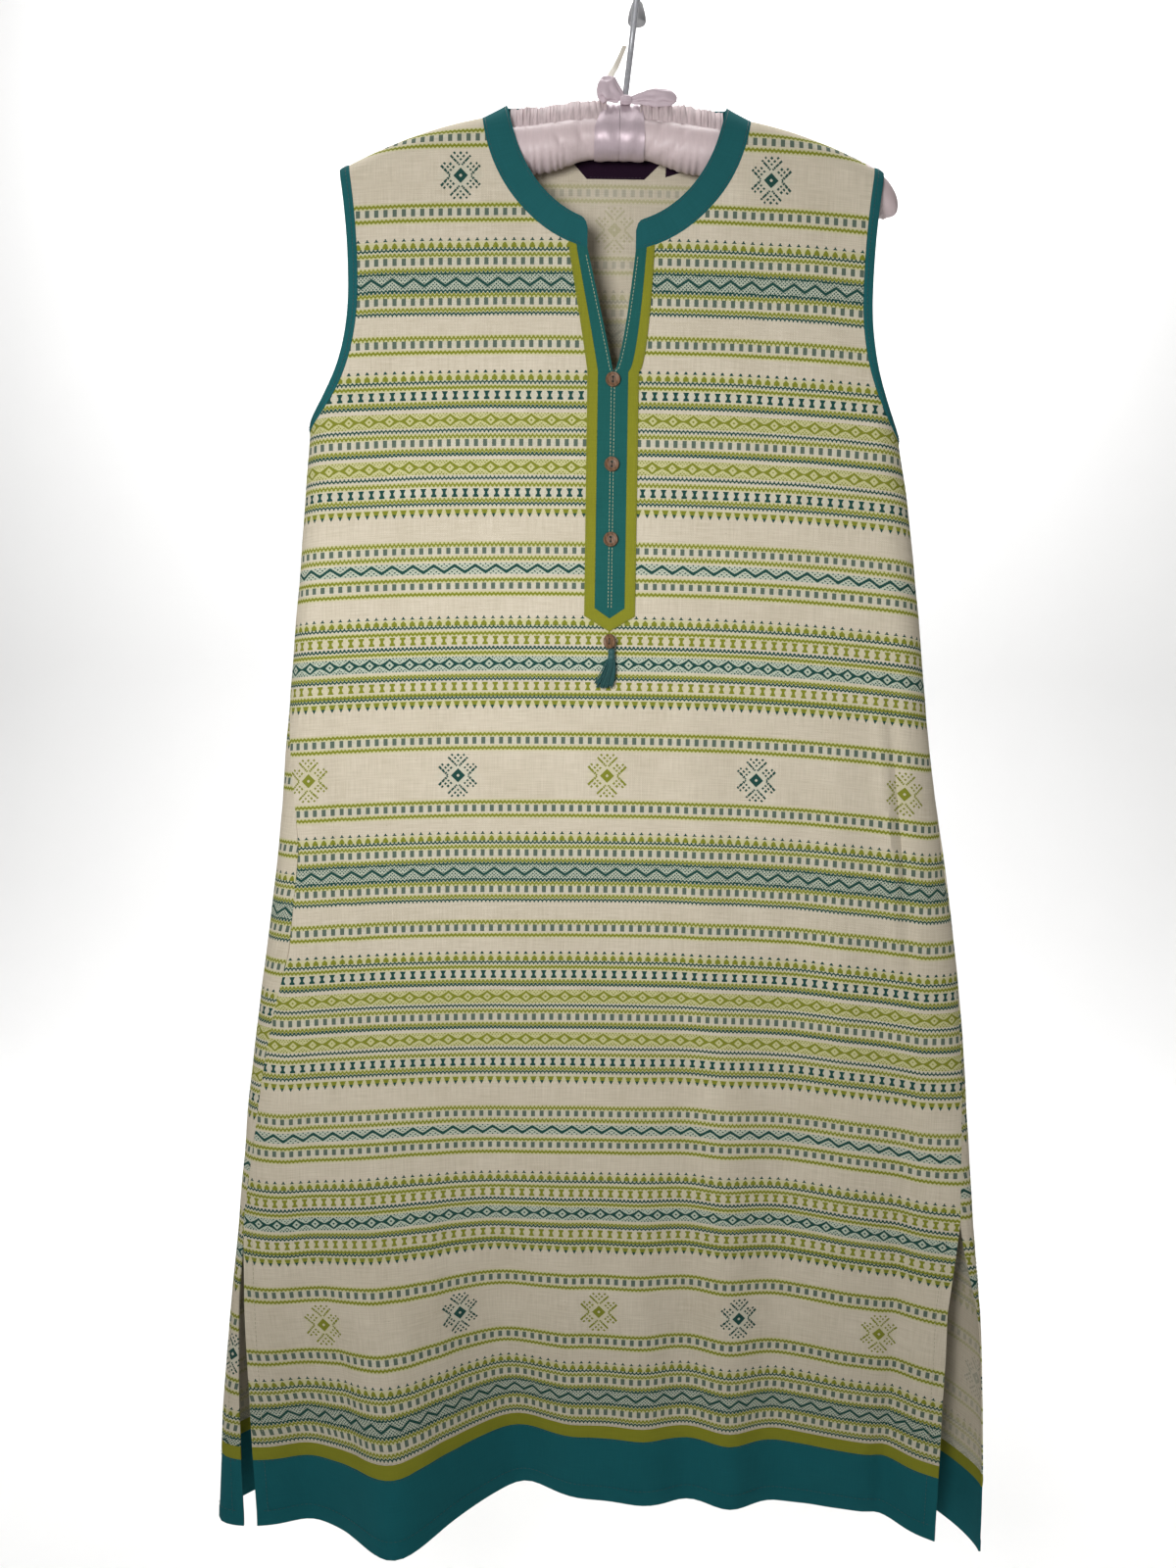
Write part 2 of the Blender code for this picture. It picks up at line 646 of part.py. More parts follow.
def build_placket():
    border_in, border_out = {}, {}
    for side, name in ((-1, "left"), (1, "right")):
        inner, outer, border = [], [], []
        for v in placket_levels(side):
            teal, lime = placket_widths(v)
            edge = float(vee_edge(v, side))
            near = edge + side * GAP / 2
            inner.append(under_band(near, v))
            outer.append(under_band(edge + side * teal, v))
            border.append(under_band(edge + side * (teal + lime), v))
        point = [(side * GAP / 2, TEAL_POINT)]
        flat, quads = strip(inner[:-1] + point, outer)
        add_wall(f"placket_{name}", flat, quads, FRONT, (TEAL, 0.8), TRIM, trim_lift())
        border_in[side] = [(u + side * GAP, v) for u, v in outer]
        border_out[side] = border[:-1] + [(border[-1][0], LIME_CORNER)]
    inside = border_in[-1] + [(0.0, TEAL_POINT + 2 * GAP)] + border_in[1][::-1]
    outside = border_out[-1] + [(0.0, LIME_POINT)] + border_out[1][::-1]
    flat, quads = strip(inside, outside)
    add_wall("placket_border", flat, quads, FRONT, (LIME, 0.8), TRIM, trim_lift())


def build_labels():
    lift = -(WALL / 2 + GAP + LABEL_THICK / 2)
    top, bottom = LABEL_TOP, LABEL_TOP + LABEL_DEPTH
    look = (LABEL_DARK, 0.7)
    halves = ((-0.0375, 0.0400), (-0.0297, 0.0311), (-0.0219, 0.0222))
    levels = (top, (top + bottom) / 2, bottom)
    rows = [[(left + (right - left) * k / 4, v) for k in range(5)] for (left, right), v in zip(halves, levels)]
    add_wall("neck_label", *grid(rows), BACK, look, LABEL_THICK, lift)
    rows = [[(0.0412, top), (0.0500, top)], [(0.0385, top + 0.0120), (0.0505, top + 0.0098)]]
    add_wall("size_tab", *grid(rows), BACK, look, LABEL_THICK, lift)


# Turned and swept pieces


def turned(name, profile, segments, look, place):
    """A solid turned about Z from rows of radius and height, closed on the axis at both ends."""
    points, faces = [], []
    for radius, height in profile:
        for k in range(segments):
            turn = 2 * math.pi * k / segments
            points.append((radius * math.cos(turn), radius * math.sin(turn), height))
    rows = len(profile)
    for r in range(rows - 1):
        for k in range(segments):
            n = (k + 1) % segments
            faces.append((r * segments + k, r * segments + n, (r + 1) * segments + n, (r + 1) * segments + k))
    faces.append(tuple(range(segments))[::-1])
    faces.append(tuple((rows - 1) * segments + k for k in range(segments)))
    points = [place @ Vector(p) for p in points]
    return add_object(name, points, faces, look)


def facing(u, v, lift, turn=0.0):
    """Placement with +Z out of the front cloth and +Y up, turned about the upright."""
    places, out = cloth(np.array([[u, v]]), FRONT)
    out = Vector(out[0])
    spun = Matrix.Rotation(turn, 3, "Z") @ out
    up = Vector((0, 0, 1))
    across = up.cross(spun).normalized()
    up = spun.cross(across)
    place = Matrix((across, up, spun)).transposed().to_4x4()
    place.translation = Vector(places[0]) + out * lift
    return place


BUTTON_PROFILE = ((0.80, 0.0), (1.00, 0.25), (1.00, 0.70), (0.90, 1.0), (0.66, 0.75))


def build_buttons():
    profile = [(r * BUTTON_RADIUS, h * BUTTON_THICK) for r, h in BUTTON_PROFILE]
    base = WALL / 2 + 2 * GAP + TRIM
    for k, v in enumerate(BUTTONS_AT):
        turned(f"button_{k + 1}", profile, BUTTON_SIDES, (WOOD, 0.5), facing(0.0, v, base))
    rim = BUTTON_RADIUS * math.sin(TASSEL_BUTTON_TURN) - 0.25 * BUTTON_THICK * math.cos(TASSEL_BUTTON_TURN)
    lift = WALL / 2 + GAP + rim
    turned("tassel_button", profile, BUTTON_SIDES, (WOOD, 0.5),
           facing(0.001, TASSEL_BUTTON_AT, lift, -TASSEL_BUTTON_TURN))


def build_tassel():
    """Strands grown out of the cells of the head's lower face."""
    segments = 9
    rings = (0.0011, 0.0020, TASSEL_HEAD)
    profile = ((0.0009, 0.0066), (0.0022, 0.0058), (0.0030, 0.0040), (0.0025, 0.0026), (0.0030, 0.0012))
    points, faces = [], []

    def ring(radius, height):
        start = len(points)
        for k in range(segments):
            turn = 2 * math.pi * k / segments
            points.append(np.array((radius * math.cos(turn), radius * math.sin(turn), height)))
        return start

    def band(low, high):
        for k in range(segments):
            n = (k + 1) % segments
            faces.append((low + k, low + n, high + n, high + k))

    starts = [ring(r, h) for r, h in profile]
    faces.append(tuple(starts[0] + k for k in range(segments)))
    for high, low in zip(starts, starts[1:]):
        band(low, high)
    base = [ring(r, 0.0) for r in rings]
    band(base[-1], starts[-1])
    centre = len(points)
    points.append(np.zeros(3))
    cells = []
    for k in range(segments):
        n = (k + 1) % segments
        cells.append((centre, base[0] + n, base[0] + k))
        for low, high in zip(base, base[1:]):
            cells.append((low + k, low + n, high + n, high + k))
    levels = (0.0, 0.45, 1.0)
    for number, cell in enumerate(cells):
        corners = np.array([points[i] for i in cell])
        middle = corners.mean(axis=0)
        length = TASSEL_LENGTH * (0.84 + 0.16 * ((number * 7) % 11) / 10)
        before = list(cell)
        for t in levels:
            spread_out = np.array((1 + 2.1 * t**0.8, 1 + 0.1 * t, 0.0))
            drift = np.array((-0.0050 * t**1.4, -0.0008 * t, -length * t - 0.0002))
            thin = 0.80 - 0.25 * t
            after = []
            for corner in corners:
                after.append(len(points))
                points.append(middle * spread_out + drift + (corner - middle) * thin)
            for a in range(len(cell)):
                b = (a + 1) % len(cell)
                faces.append((before[a], before[b], after[b], after[a]))
            before = after
        faces.append(tuple(before))
    lift = WALL / 2 + GAP + TASSEL_HEAD + 0.0003
    places, out = cloth(np.array([[TASSEL_X, TASSEL_AT]]), FRONT)
    centre_at = Vector(places[0]) + Vector(out[0]) * lift
    placed = [centre_at + Vector(p) - Vector((0, 0, 0.0033)) for p in points]
    add_object("tassel", placed, faces, (TEAL, 0.9))


# Hanger


def ribbon_pull(x):
    """1 under the ribbon's turns, falling to 0 away from them."""
    return math.exp(-(((x - RIBBON_CENTRE) / RIBBON_REACH) ** 4))


def arm_radius(x):
    radius = ARM_RADIUS - RIBBON_SQUEEZE * ribbon_pull(x)
    for end in (x - ARM_LEFT, ARM_RIGHT - x):
        if end < ARM_END:
            radius *= math.sqrt(max(0.0, 1 - (1 - max(end, 0.0) / ARM_END) ** 2))
    return radius


def arm_low(x):
    """How much deeper the padding hangs below its middle than it stands above it."""
    return 1 + ARM_LOW * (1 - ribbon_pull(x))


def arm_centre(x):
    return float(shoulder_height(x)) - WALL / 2 - GAP - ARM_RADIUS + RIBBON_SQUEEZE * ribbon_pull(x)


def sleeve_on_arm(name, stations, inner_extra, thick, segments, look):
    """A closed ring round the arm and over its frill, or the arm itself when thick is None."""
    points, faces = [], []

    def ring(x, radius):
        start = len(points)
        for k in range(segments):
            turn = 2 * math.pi * k / segments
            high = radius * math.cos(turn) * (1.0 if math.cos(turn) > 0 else arm_low(x))
            over = 0.0 if thick is None else max(0.0, math.cos(turn)) ** 5
            at = x + (RIBBON_CENTRE - x) * RIBBON_NARROWS * over
            points.append((at + GARMENT_X, radius * math.sin(turn), arm_centre(x) + high + RIBBON_RISE * over))
        return start

    def band(a, b):
        for k in range(segments):
            n = (k + 1) % segments
            faces.append((a + k, a + n, b + n, b + k))

    if thick is None:
        starts = [ring(x, max(arm_radius(x), 0.0004)) for x in stations]
        faces.append(tuple(starts[0] + k for k in range(segments)))
        faces.append(tuple(starts[-1] + k for k in range(segments))[::-1])
        for a, b in zip(starts, starts[1:]):
            band(a, b)
    else:
        inner = [ring(x, arm_radius(x) + inner_extra) for x in stations]
        outer = [ring(x, arm_radius(x) + inner_extra + thick) for x in stations]
        loop = outer + inner[::-1]
        for a, b in zip(loop, loop[1:] + loop[:1]):
            band(a, b)
    return add_object(name, points, faces, look)


def build_arm():
    ends = [0.0, 0.03, 0.14, 0.32, 0.58, 1.0]
    left = [ARM_LEFT + ARM_END * e for e in ends]
    right = [ARM_RIGHT - ARM_END * e for e in reversed(ends)]
    wound = {}
    for side in (-1, 1):
        near = RIBBON_CENTRE + side * GAP / 2
        wound[side] = [near, near + side * RIBBON_WIDTH / 2, near + side * RIBBON_WIDTH]
    middle = list(np.linspace(left[-1], wound[-1][-1], ARM_STATIONS))[1:] + wound[-1][1::-1]
    middle += wound[1] + list(np.linspace(wound[1][-1], right[0], ARM_STATIONS))[1:-1]
    sleeve_on_arm("hanger_arm", left + middle + right, 0, None, ARM_SIDES, (SATIN, 0.4))
    for side, name in ((-1, "left"), (1, "right")):
        stations = wound[side]
        sleeve_on_arm(f"ribbon_turn_{name}", stations, GAP, RIBBON_THICK, ARM_SIDES, (RIBBON, 0.3))


def build_frills():
    """Gathered upstanding edge on the arm's top seam, either side of the ribbon."""
    spans = {"left": (-0.073, RIBBON_CENTRE - RIBBON_WIDTH - 0.0012),
             "right": (RIBBON_CENTRE + RIBBON_WIDTH + 0.0012, 0.070)}
    for name, (start, end) in spans.items():
        count = int((end - start) / FRILL_STEP) * 4
        points, faces = [], []
        for k in range(count + 1):
            x = start + (end - start) * k / count
            wave = FRILL_WAVE * math.sin(math.pi * k / 2 + 0.6)
            foot = arm_centre(x) + arm_radius(x) + GAP
            head = foot + FRILL_HIGH + 0.0006 * math.sin(1.7 * k)
            for y, z in ((-FRILL_THICK / 2, foot), (wave - FRILL_THICK / 2, head),
                         (wave + FRILL_THICK / 2, head), (FRILL_THICK / 2, foot)):
                points.append((x + GARMENT_X, y, z))
        for k in range(count):
            for a in range(4):
                b = (a + 1) % 4
                faces.append((4 * k + a, 4 * k + b, 4 * k + 4 + b, 4 * k + 4 + a))
        faces.append((3, 2, 1, 0))
        faces.append(tuple(4 * count + a for a in range(4)))
        add_object(f"frill_{name}", points, faces, (SATIN, 0.4))


def swept(name, path, outlines, look):
    """A solid through closed outlines carried along a path. Each outline is rows of across and out."""
    points, faces = [], []
    path = [Vector(p) for p in path]
    count = len(outlines[0])
    for k, centre in enumerate(path):
        ahead = (path[min(k + 1, len(path) - 1)] - path[max(k - 1, 0)]).normalized()
        out = Vector((0, -1, 0)) if abs(ahead.y) < 0.9 else Vector((0, 0, 1))
        if name == "hook_wire":
            out = Vector((1, 0, 0))
        across = ahead.cross(out).normalized()
        out = across.cross(ahead).normalized()
        for a, b in outlines[k]:
            points.append(centre + across * a + out * b)
    for k in range(len(path) - 1):
        for a in range(count):
            b = (a + 1) % count
            faces.append((count * k + a, count * k + b, count * (k + 1) + b, count * (k + 1) + a))
    faces.append(tuple(range(count))[::-1])
    faces.append(tuple(count * (len(path) - 1) + a for a in range(count)))
    return add_object(name, points, faces, look)


def oval(wide, deep, count=12):
    return [(wide * math.cos(2 * math.pi * k / count), deep * math.sin(2 * math.pi * k / count))
            for k in range(count)]


def hook_x(height):
    return HOOK_LEAN * height


def build_hook():
    """Question-mark hook seen edge on: its bend lies across the hanger."""
    foot = arm_centre(0.006) + arm_radius(0.006) + 2 * GAP + RIBBON_THICK + RIBBON_RISE
    centre = HOOK_WIRE - HOOK_RADIUS
    line = [(0.0, foot), (0.0, -0.078), (0.0, -0.068), (-0.0008, -0.058), (-0.0045, -0.047), (-0.0110, -0.037),
            (-0.0165, -0.0285)]
    for k in range(15):
        turn = math.radians(190 - (190 - 12) * k / 14)
        line.append((HOOK_RADIUS * math.cos(turn), centre + HOOK_RADIUS * math.sin(turn)))
    path = [(hook_x(z), y, z) for y, z in line]
    swept("hook_wire", path, [oval(HOOK_WIRE, HOOK_WIRE, 10)] * len(path), (METAL, 0.35, 0.9))
    tip_y, tip_z = line[-1]
    profile = ((0.60, 0.0), (0.72, -0.10), (0.88, -0.35), (1.0, -0.65), (1.0, -0.88), (0.86, -1.0))
    place = Matrix.Translation((hook_x(tip_z), tip_y, tip_z - GAP - HOOK_WIRE * math.sin(math.radians(12))))
    turned("hook_tip_cap", [(r * CAP_RADIUS, h * CAP_LENGTH) for r, h in profile], 20, (CAP_GREY, 0.5), place)


def teardrop(name, start, end, wide, deep, look):
    """A folded ribbon loop as a flattened drop from its knot to its rounded end."""
    start, end = Vector(start), Vector(end)
    parts = (0.0, 0.12, 0.30, 0.52, 0.72, 0.88, 0.97, 1.0)
    sizes = (0.30, 0.50, 0.80, 1.00, 0.95, 0.70, 0.38, 0.12)
    path = [start + (end - start) * p for p in parts]
    swept(name, path, [oval(wide * s, deep * s) for s in sizes], look)


def build_bow():
    """Bow tied round the foot of the hook's wire."""
    look = (RIBBON, 0.3)
    x, y, z = hook_x(KNOT_HEIGHT) + 0.001, -(HOOK_WIRE + KNOT + GAP), KNOT_HEIGHT
    knot = [(x + KNOT * f, y, z) for f in (-1.2, -1.0, 0.0, 1.0, 1.2)]
    sizes = (0.45, 0.85, 1.0, 0.85, 0.45)
    swept("bow_knot", knot, [oval(KNOT * s, KNOT * s) for s in sizes], look)
    teardrop("bow_loop_left", (x - 0.0051, y, z + 0.0008), (x - 0.0215, y - 0.001, z + 0.0085), 0.0075, 0.0034, look)
    teardrop("bow_loop_right", (x + 0.0046, y, z), (x + 0.0375, y - 0.001, z + 0.0006), 0.0054, 0.0034, look)
    tail = [(x - 0.0108, y, z + 0.0132), (x - 0.0116, 0.0010, z + 0.0200), (x - 0.0075, 0.0065, z + 0.0300),
            (x - 0.0010, 0.0085, z + 0.0455)]
    swept("bow_tail", tail, [oval(0.0022, 0.0005, 8)] * 4, look)


def main():
    for old in list(bpy.data.objects):
        bpy.data.objects.remove(old)
    build_panels()
    build_hems()
    build_neck_band()
    build_armhole_bindings()
    build_placket()
    build_labels()
    build_buttons()
    build_tassel()
    build_arm()
    build_frills()
    build_hook()
    build_bow()


main()
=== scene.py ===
"""A sleeveless striped kurta on a padded satin hanger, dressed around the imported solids.

Metres, +Z up, front towards -Y. The cloth is described by its flat cut, as a cutter lays it out: u runs
across a panel from its centre line, v runs down it from the level of the neck-side end of the shoulder
seam. Sections through the hanging garment carry the flat cut into space, and every trim and stitch is
laid on the same surface.
"""

import math

import bmesh
import bpy
import numpy as np
from bpy.props import FloatProperty, FloatVectorProperty, IntProperty, PointerProperty
from mathutils import Matrix, Vector


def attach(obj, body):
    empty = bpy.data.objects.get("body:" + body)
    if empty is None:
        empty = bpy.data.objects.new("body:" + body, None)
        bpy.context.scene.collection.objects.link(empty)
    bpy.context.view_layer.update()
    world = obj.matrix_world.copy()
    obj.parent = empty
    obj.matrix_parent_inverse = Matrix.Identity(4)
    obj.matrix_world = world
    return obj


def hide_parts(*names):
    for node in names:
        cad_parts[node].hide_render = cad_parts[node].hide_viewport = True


bl_info = {
    "name": "Striped kurta on a padded hanger",
    "version": (1, 0, 0),
    "blender": (4, 5, 0),
    "location": "3D View > Sidebar > Kurta",
    "description": "Builds the kurta's cloth, trims and stitching and the padded hanger around the solids",
    "category": "Object",
}

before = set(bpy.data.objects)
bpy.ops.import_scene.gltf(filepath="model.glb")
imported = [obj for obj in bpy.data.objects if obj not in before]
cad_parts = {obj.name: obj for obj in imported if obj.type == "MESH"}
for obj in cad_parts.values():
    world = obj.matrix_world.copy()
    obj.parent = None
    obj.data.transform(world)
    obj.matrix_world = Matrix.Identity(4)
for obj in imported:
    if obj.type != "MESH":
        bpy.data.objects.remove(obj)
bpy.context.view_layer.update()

# Cloth and seams
WALL = 0.0011
TRIM = 0.0009
BINDING_THICK = 0.0017
NECK_BAND_THICK = 0.0014
GAP = 0.0003
SEAM = 0.0001

# Place of the garment's centre line beside the hook
GARMENT_X = -0.0162
HOOK_LEAN = 0.112

# Shoulders
SHOULDER_TOP = -0.1040
SHOULDER_FLAT = 0.060
SHOULDER_DROP = 0.0420
SHOULDER_HALF = 0.205
SHOULDER_POWER = 1.85
CLOTH_RADIUS = 0.0176
NECK_SIDE = 0.100
DROOP = {-1: 0.009, 1: 0.014}
DROOP_AT = 0.25

# Lengths down the cloth
VEE_BOTTOM = 0.1972
UNDERARM = 0.2272
LIME_TOP = 1.0382
BAND_TOP = 1.0492
HEM = 1.1052

# Neck
FRONT_NECK = 0.1095
BACK_NECK = 0.0235
NECK_BAND = 0.0205
NECK_CORNER = 0.0085
VEE_HALF = {-1: 0.0205, 1: 0.0155}
VEE_POWER = {-1: 1.05, 1: 0.60}

# Armhole
ARMHOLE_TIP = {-1: 0.2075, 1: 0.2010}
ARMHOLE_MID = {-1: 0.1985, 1: 0.1930}
ARMHOLE_MID_V = 0.1322
BINDING = 0.0070
BINDING_ROLL = 0.0005

# Placket
TEAL_TOP = 0.0080
TEAL_WIDE = 0.0113
LIME_TOP_WIDTH = 0.0060
LIME_WIDE = 0.0080
TEAL_CORNER = 0.3727
TEAL_POINT = 0.3804
LIME_CORNER = 0.3787
LIME_POINT = 0.3904

# Buttons and tassel
BUTTONS_AT = (0.2030, 0.2653, 0.3212)
TASSEL_BUTTON_AT = 0.3978
TASSEL_BUTTON_TURN = math.radians(38)
TASSEL_AT = 0.4070
TASSEL_X = 0.0020

# Label inside the back neck
LABEL_TOP = 0.0270
LABEL_DEPTH = 0.0170
LABEL_THICK = 0.0005
LABEL_LEFT = -0.0375
LABEL_RIGHT = 0.0400
TAB_LEFT = 0.0390
TAB_WIDE = 0.0190
TAB_DEEP = 0.0150

# Hanger
ARM_RADIUS = 0.0164
ARM_LOW = 0.06
ARM_DIP = 0.0066
ARM_LEFT = -0.199
ARM_RIGHT = 0.2135
ARM_END = 0.026
RIBBON_CENTRE = 0.0023
RIBBON_WIDTH = 0.0185
RIBBON_THICK = 0.0006
RIBBON_SQUEEZE = 0.0024
RIBBON_REACH = 0.040
RIBBON_RISE = 0.0085
RIBBON_NARROWS = {-1: 0.30, 1: 0.08}
HOOK_WIRE = 0.00225
KNOT = 0.0034
KNOT_HEIGHT = -0.0942
HOOK_RADIUS = 0.0200
CAP_RADIUS = 0.0070
CAP_LENGTH = 0.0135

FRONT = 0
BACK = 1
FACES = {FRONT: "front", BACK: "back"}
SIDES = {-1: "left", 1: "right"}

# Sections through the hanging garment.
# height, half width left, half width right, y of left edge, y of right edge,
# depth of front at centre, depth of back at centre, width over which an edge rounds
SECTIONS = (
    (-1.240, 0.3090, 0.3080, -0.0230, -0.0460, 0.0110, 0.0620, 0.110),
    (-1.204, 0.3080, 0.3075, -0.0220, -0.0460, 0.0120, 0.0600, 0.105),
    (-1.050, 0.3000, 0.3020, -0.0160, -0.0450, 0.0185, 0.0500, 0.085),
    (-0.950, 0.2915, 0.2935, -0.0090, -0.0370, 0.0225, 0.0430, 0.065),
    (-0.850, 0.2826, 0.2878, -0.0030, -0.0200, 0.0245, 0.0360, 0.050),
    (-0.750, 0.2709, 0.2804, 0.0000, -0.0070, 0.0248, 0.0310, 0.040),
    (-0.655, 0.2586, 0.2664, 0.0000, 0.0000, 0.0245, 0.0285, 0.034),
    (-0.560, 0.2503, 0.2511, 0.0000, 0.0000, 0.0240, 0.0265, 0.030),
    (-0.470, 0.2424, 0.2397, 0.0000, 0.0000, 0.0235, 0.0250, 0.027),
    (-0.380, 0.2346, 0.2271, 0.0000, 0.0000, 0.0222, 0.0232, 0.024),
    (-0.320, 0.2300, 0.2160, 0.0000, 0.0000, 0.0210, 0.0215, 0.022),
    (-0.230, 0.2290, 0.2150, 0.0000, 0.0000, 0.0187, 0.0187, 0.020),
    (-0.160, 0.2290, 0.2150, 0.0000, 0.0000, 0.0176, 0.0176, 0.020),
    (-0.080, 0.2290, 0.2150, 0.0000, 0.0000, 0.0176, 0.0176, 0.020),
)
EDGE_CURL = {-1: 3, 1: 6}
OUTLINE_POINTS = 361
UNEVENNESS = 0.00045

# Folds: x at the start and at the hem, half width, depth at the hem (+ stands out), height of the start,
# growth
FRONT_FOLDS = (
    (-0.186, -0.156, 0.040, 0.057, -0.80, 2.0),
    (-0.100, -0.060, 0.030, -0.024, -0.84, 1.6),
    (0.020, 0.040, 0.022, 0.006, -0.78, 1.3),
    (0.060, 0.075, 0.018, -0.005, -0.70, 1.0),
    (0.083, 0.110, 0.018, 0.008, -0.55, 1.0),
    (0.140, 0.145, 0.018, -0.005, -0.70, 1.0),
    (0.197, 0.195, 0.022, 0.005, -0.60, 0.8),
    (0.238, 0.240, 0.014, -0.012, -0.80, 1.0),
    (-0.236, -0.236, 0.020, -0.006, -0.70, 1.0),
    (0.190, 0.200, 0.050, -0.016, -1.02, 1.4),
)
BACK_FOLDS = (
    (-0.150, -0.165, 0.040, -0.030, -0.78, 1.6),
    (-0.070, -0.075, 0.030, 0.016, -0.70, 1.3),
    (0.020, 0.015, 0.034, -0.012, -0.66, 1.2),
    (0.090, 0.105, 0.028, 0.014, -0.72, 1.2),
    (0.180, 0.185, 0.034, -0.012, -0.76, 1.3),
)

# Side seams: height, left and right shift of the seam to the front, left and right width of the slit
SEAMS = (
    (-1.240, 0.0350, 0.0200, 0.0110, 0.0390),
    (-1.204, 0.0340, 0.0200, 0.0105, 0.0380),
    (-1.100, 0.0260, 0.0190, 0.0085, 0.0330),
    (-1.020, 0.0190, 0.0180, 0.0055, 0.0240),
    (-0.965, 0.0160, 0.0180, 0.0000, 0.0050),
    (-0.945, 0.0160, 0.0175, 0.0000, 0.0000),
    (-0.900, 0.0200, 0.0160, 0.0000, 0.0000),
    (-0.800, 0.0270, 0.0110, 0.0000, 0.0000),
    (-0.740, 0.0360, 0.0090, 0.0000, 0.0000),
    (-0.660, 0.0340, 0.0100, 0.0000, 0.0000),
    (-0.600, 0.0220, 0.0090, 0.0000, 0.0000),
    (-0.520, 0.0040, 0.0040, 0.0000, 0.0000),
    (-0.400, 0.0000, 0.0000, 0.0000, 0.0000),
    (-0.080, 0.0000, 0.0000, 0.0000, 0.0000),
)
SLIT_TOP = {-1: -0.965, 1: -0.955}

# Small creases in the flat cut: u and v of one end, u and v of the other, half width, depth (+ stands out)
FRONT_CREASES = (
    (-0.212, 0.330, -0.200, 0.700, 0.0045, -0.0024),
    (-0.204, 0.340, -0.192, 0.720, 0.0060, 0.0018),
    (0.205, 0.400, 0.232, 0.660, 0.0050, 0.0026),
    (0.214, 0.400, 0.241, 0.660, 0.0045, -0.0030),
    (0.060, 0.380, 0.078, 0.700, 0.0120, 0.0016),
    (0.098, 0.400, 0.100, 0.740, 0.0120, -0.0014),
    (0.178, 0.420, 0.186, 0.760, 0.0110, 0.0018),
    (0.150, 0.440, 0.152, 0.760, 0.0110, -0.0012),
    (-0.055, 0.420, -0.062, 0.800, 0.0140, 0.0010),
    (-0.110, 0.380, -0.118, 0.700, 0.0130, -0.0012),
    (0.120, 0.030, 0.172, 0.190, 0.0090, 0.0013),
    (0.104, 0.050, 0.120, 0.230, 0.0080, -0.0010),
    (-0.150, 0.040, -0.186, 0.190, 0.0090, 0.0012),
    (-0.106, 0.050, -0.122, 0.210, 0.0090, -0.0010),
    (-0.198, 0.225, -0.120, 0.290, 0.0100, 0.0014),
    (0.190, 0.225, 0.115, 0.290, 0.0100, 0.0012),
    (-0.024, 0.215, -0.110, 0.255, 0.0080, -0.0008),
    (0.026, 0.270, 0.110, 0.300, 0.0080, -0.0008),
    (0.000, 0.400, -0.060, 0.470, 0.0090, -0.0008),
    (-0.225, 0.880, -0.219, 1.060, 0.0080, -0.0018),
    (-0.140, 0.760, -0.128, 1.090, 0.0090, 0.0016),
    (-0.176, 0.800, -0.166, 1.095, 0.0080, -0.0016),
    (-0.030, 0.800, -0.018, 1.095, 0.0100, 0.0014),
    (0.050, 0.830, 0.056, 1.095, 0.0090, -0.0010),
    (0.230, 0.860, 0.238, 1.060, 0.0080, 0.0014),
    (0.160, 1.060, 0.206, 1.080, 0.0070, 0.0012),
)
BACK_CREASES = (
    (-0.205, 0.330, -0.196, 0.720, 0.0060, -0.0022),
    (0.200, 0.360, 0.222, 0.660, 0.0060, 0.0022),
    (-0.070, 0.060, -0.110, 0.300, 0.0130, 0.0016),
    (0.075, 0.060, 0.112, 0.300, 0.0130, -0.0014),
    (-0.010, 0.050, -0.004, 0.420, 0.0150, 0.0014),
    (-0.120, 0.440, -0.130, 0.900, 0.0130, -0.0018),
    (-0.040, 0.460, -0.044, 0.960, 0.0120, 0.0018),
    (0.058, 0.430, 0.066, 0.930, 0.0120, -0.0016),
    (0.132, 0.460, 0.146, 0.980, 0.0120, 0.0018),
    (0.196, 0.760, 0.214, 1.060, 0.0090, -0.0016),
    (-0.206, 0.800, -0.220, 1.070, 0.0090, 0.0016),
)

# Rows of the woven border, in millimetres from a row of stars to the next
REPEAT = 441.8
ABOVE_STARS = 40.0
STAR_ROWS = (0.0552, 0.5006, 0.9370)
BACK_SHIFT = 26.0
LIME_ZIG_ROWS = (
    *(-31.5, -21.1, 20.9, 31.5, 56.3, 67.0, 85.3, 95.8, 116.2, 126.6, 152.3, 164.0),
    *(187.8, 198.6, 223.5, 235.0, 267.5, 278.0, 294.0, 304.4, 333.8, 348.7, 365.8, 380.0),
)
TEAL_ZIG_ROWS = (52.7, 69.5, 82.3, 98.5, 148.4, 166.5, 183.5, 201.2, 218.6, 237.6, 329.4, 345.0, 368.2, 382.4)
BLOCK_ROWS = (-26.9, 25.6, 61.0, 89.9, 120.7, 192.6, 272.1, 298.5)
HOURGLASS_ROWS = (157.8, 229.2, 339.2, 374.0)
DIAMOND_ROWS = (176.0, 210.6, 356.6)
TOOTH_ROWS = (49.8, 145.2, 326.4)
HANGING_TOOTH_ROWS = (243.4, 386.6)
# Zigzags between beads: row, reach each side, pitch of the beads, their size, depth of the first beads
ZIGZAGS = (
    (75.9, 5.9, 2.625, 0.29, 0.0),
    (285.6, 4.3, 3.9375, 0.235, 0.8),
)
# Rows below this swap lime and teal
LATER_ROWS = 300.0
# Distance from shape to shape along a row
ZIG_STEP = 3.15
BLOCK_STEP = 6.825
HOURGLASS_STEP = 7.875
DIAMOND_STEP = 15.225
ZIGZAG_STEP = 15.75
STAR_STEP = 115.0


# The flat cut and the hanging surface


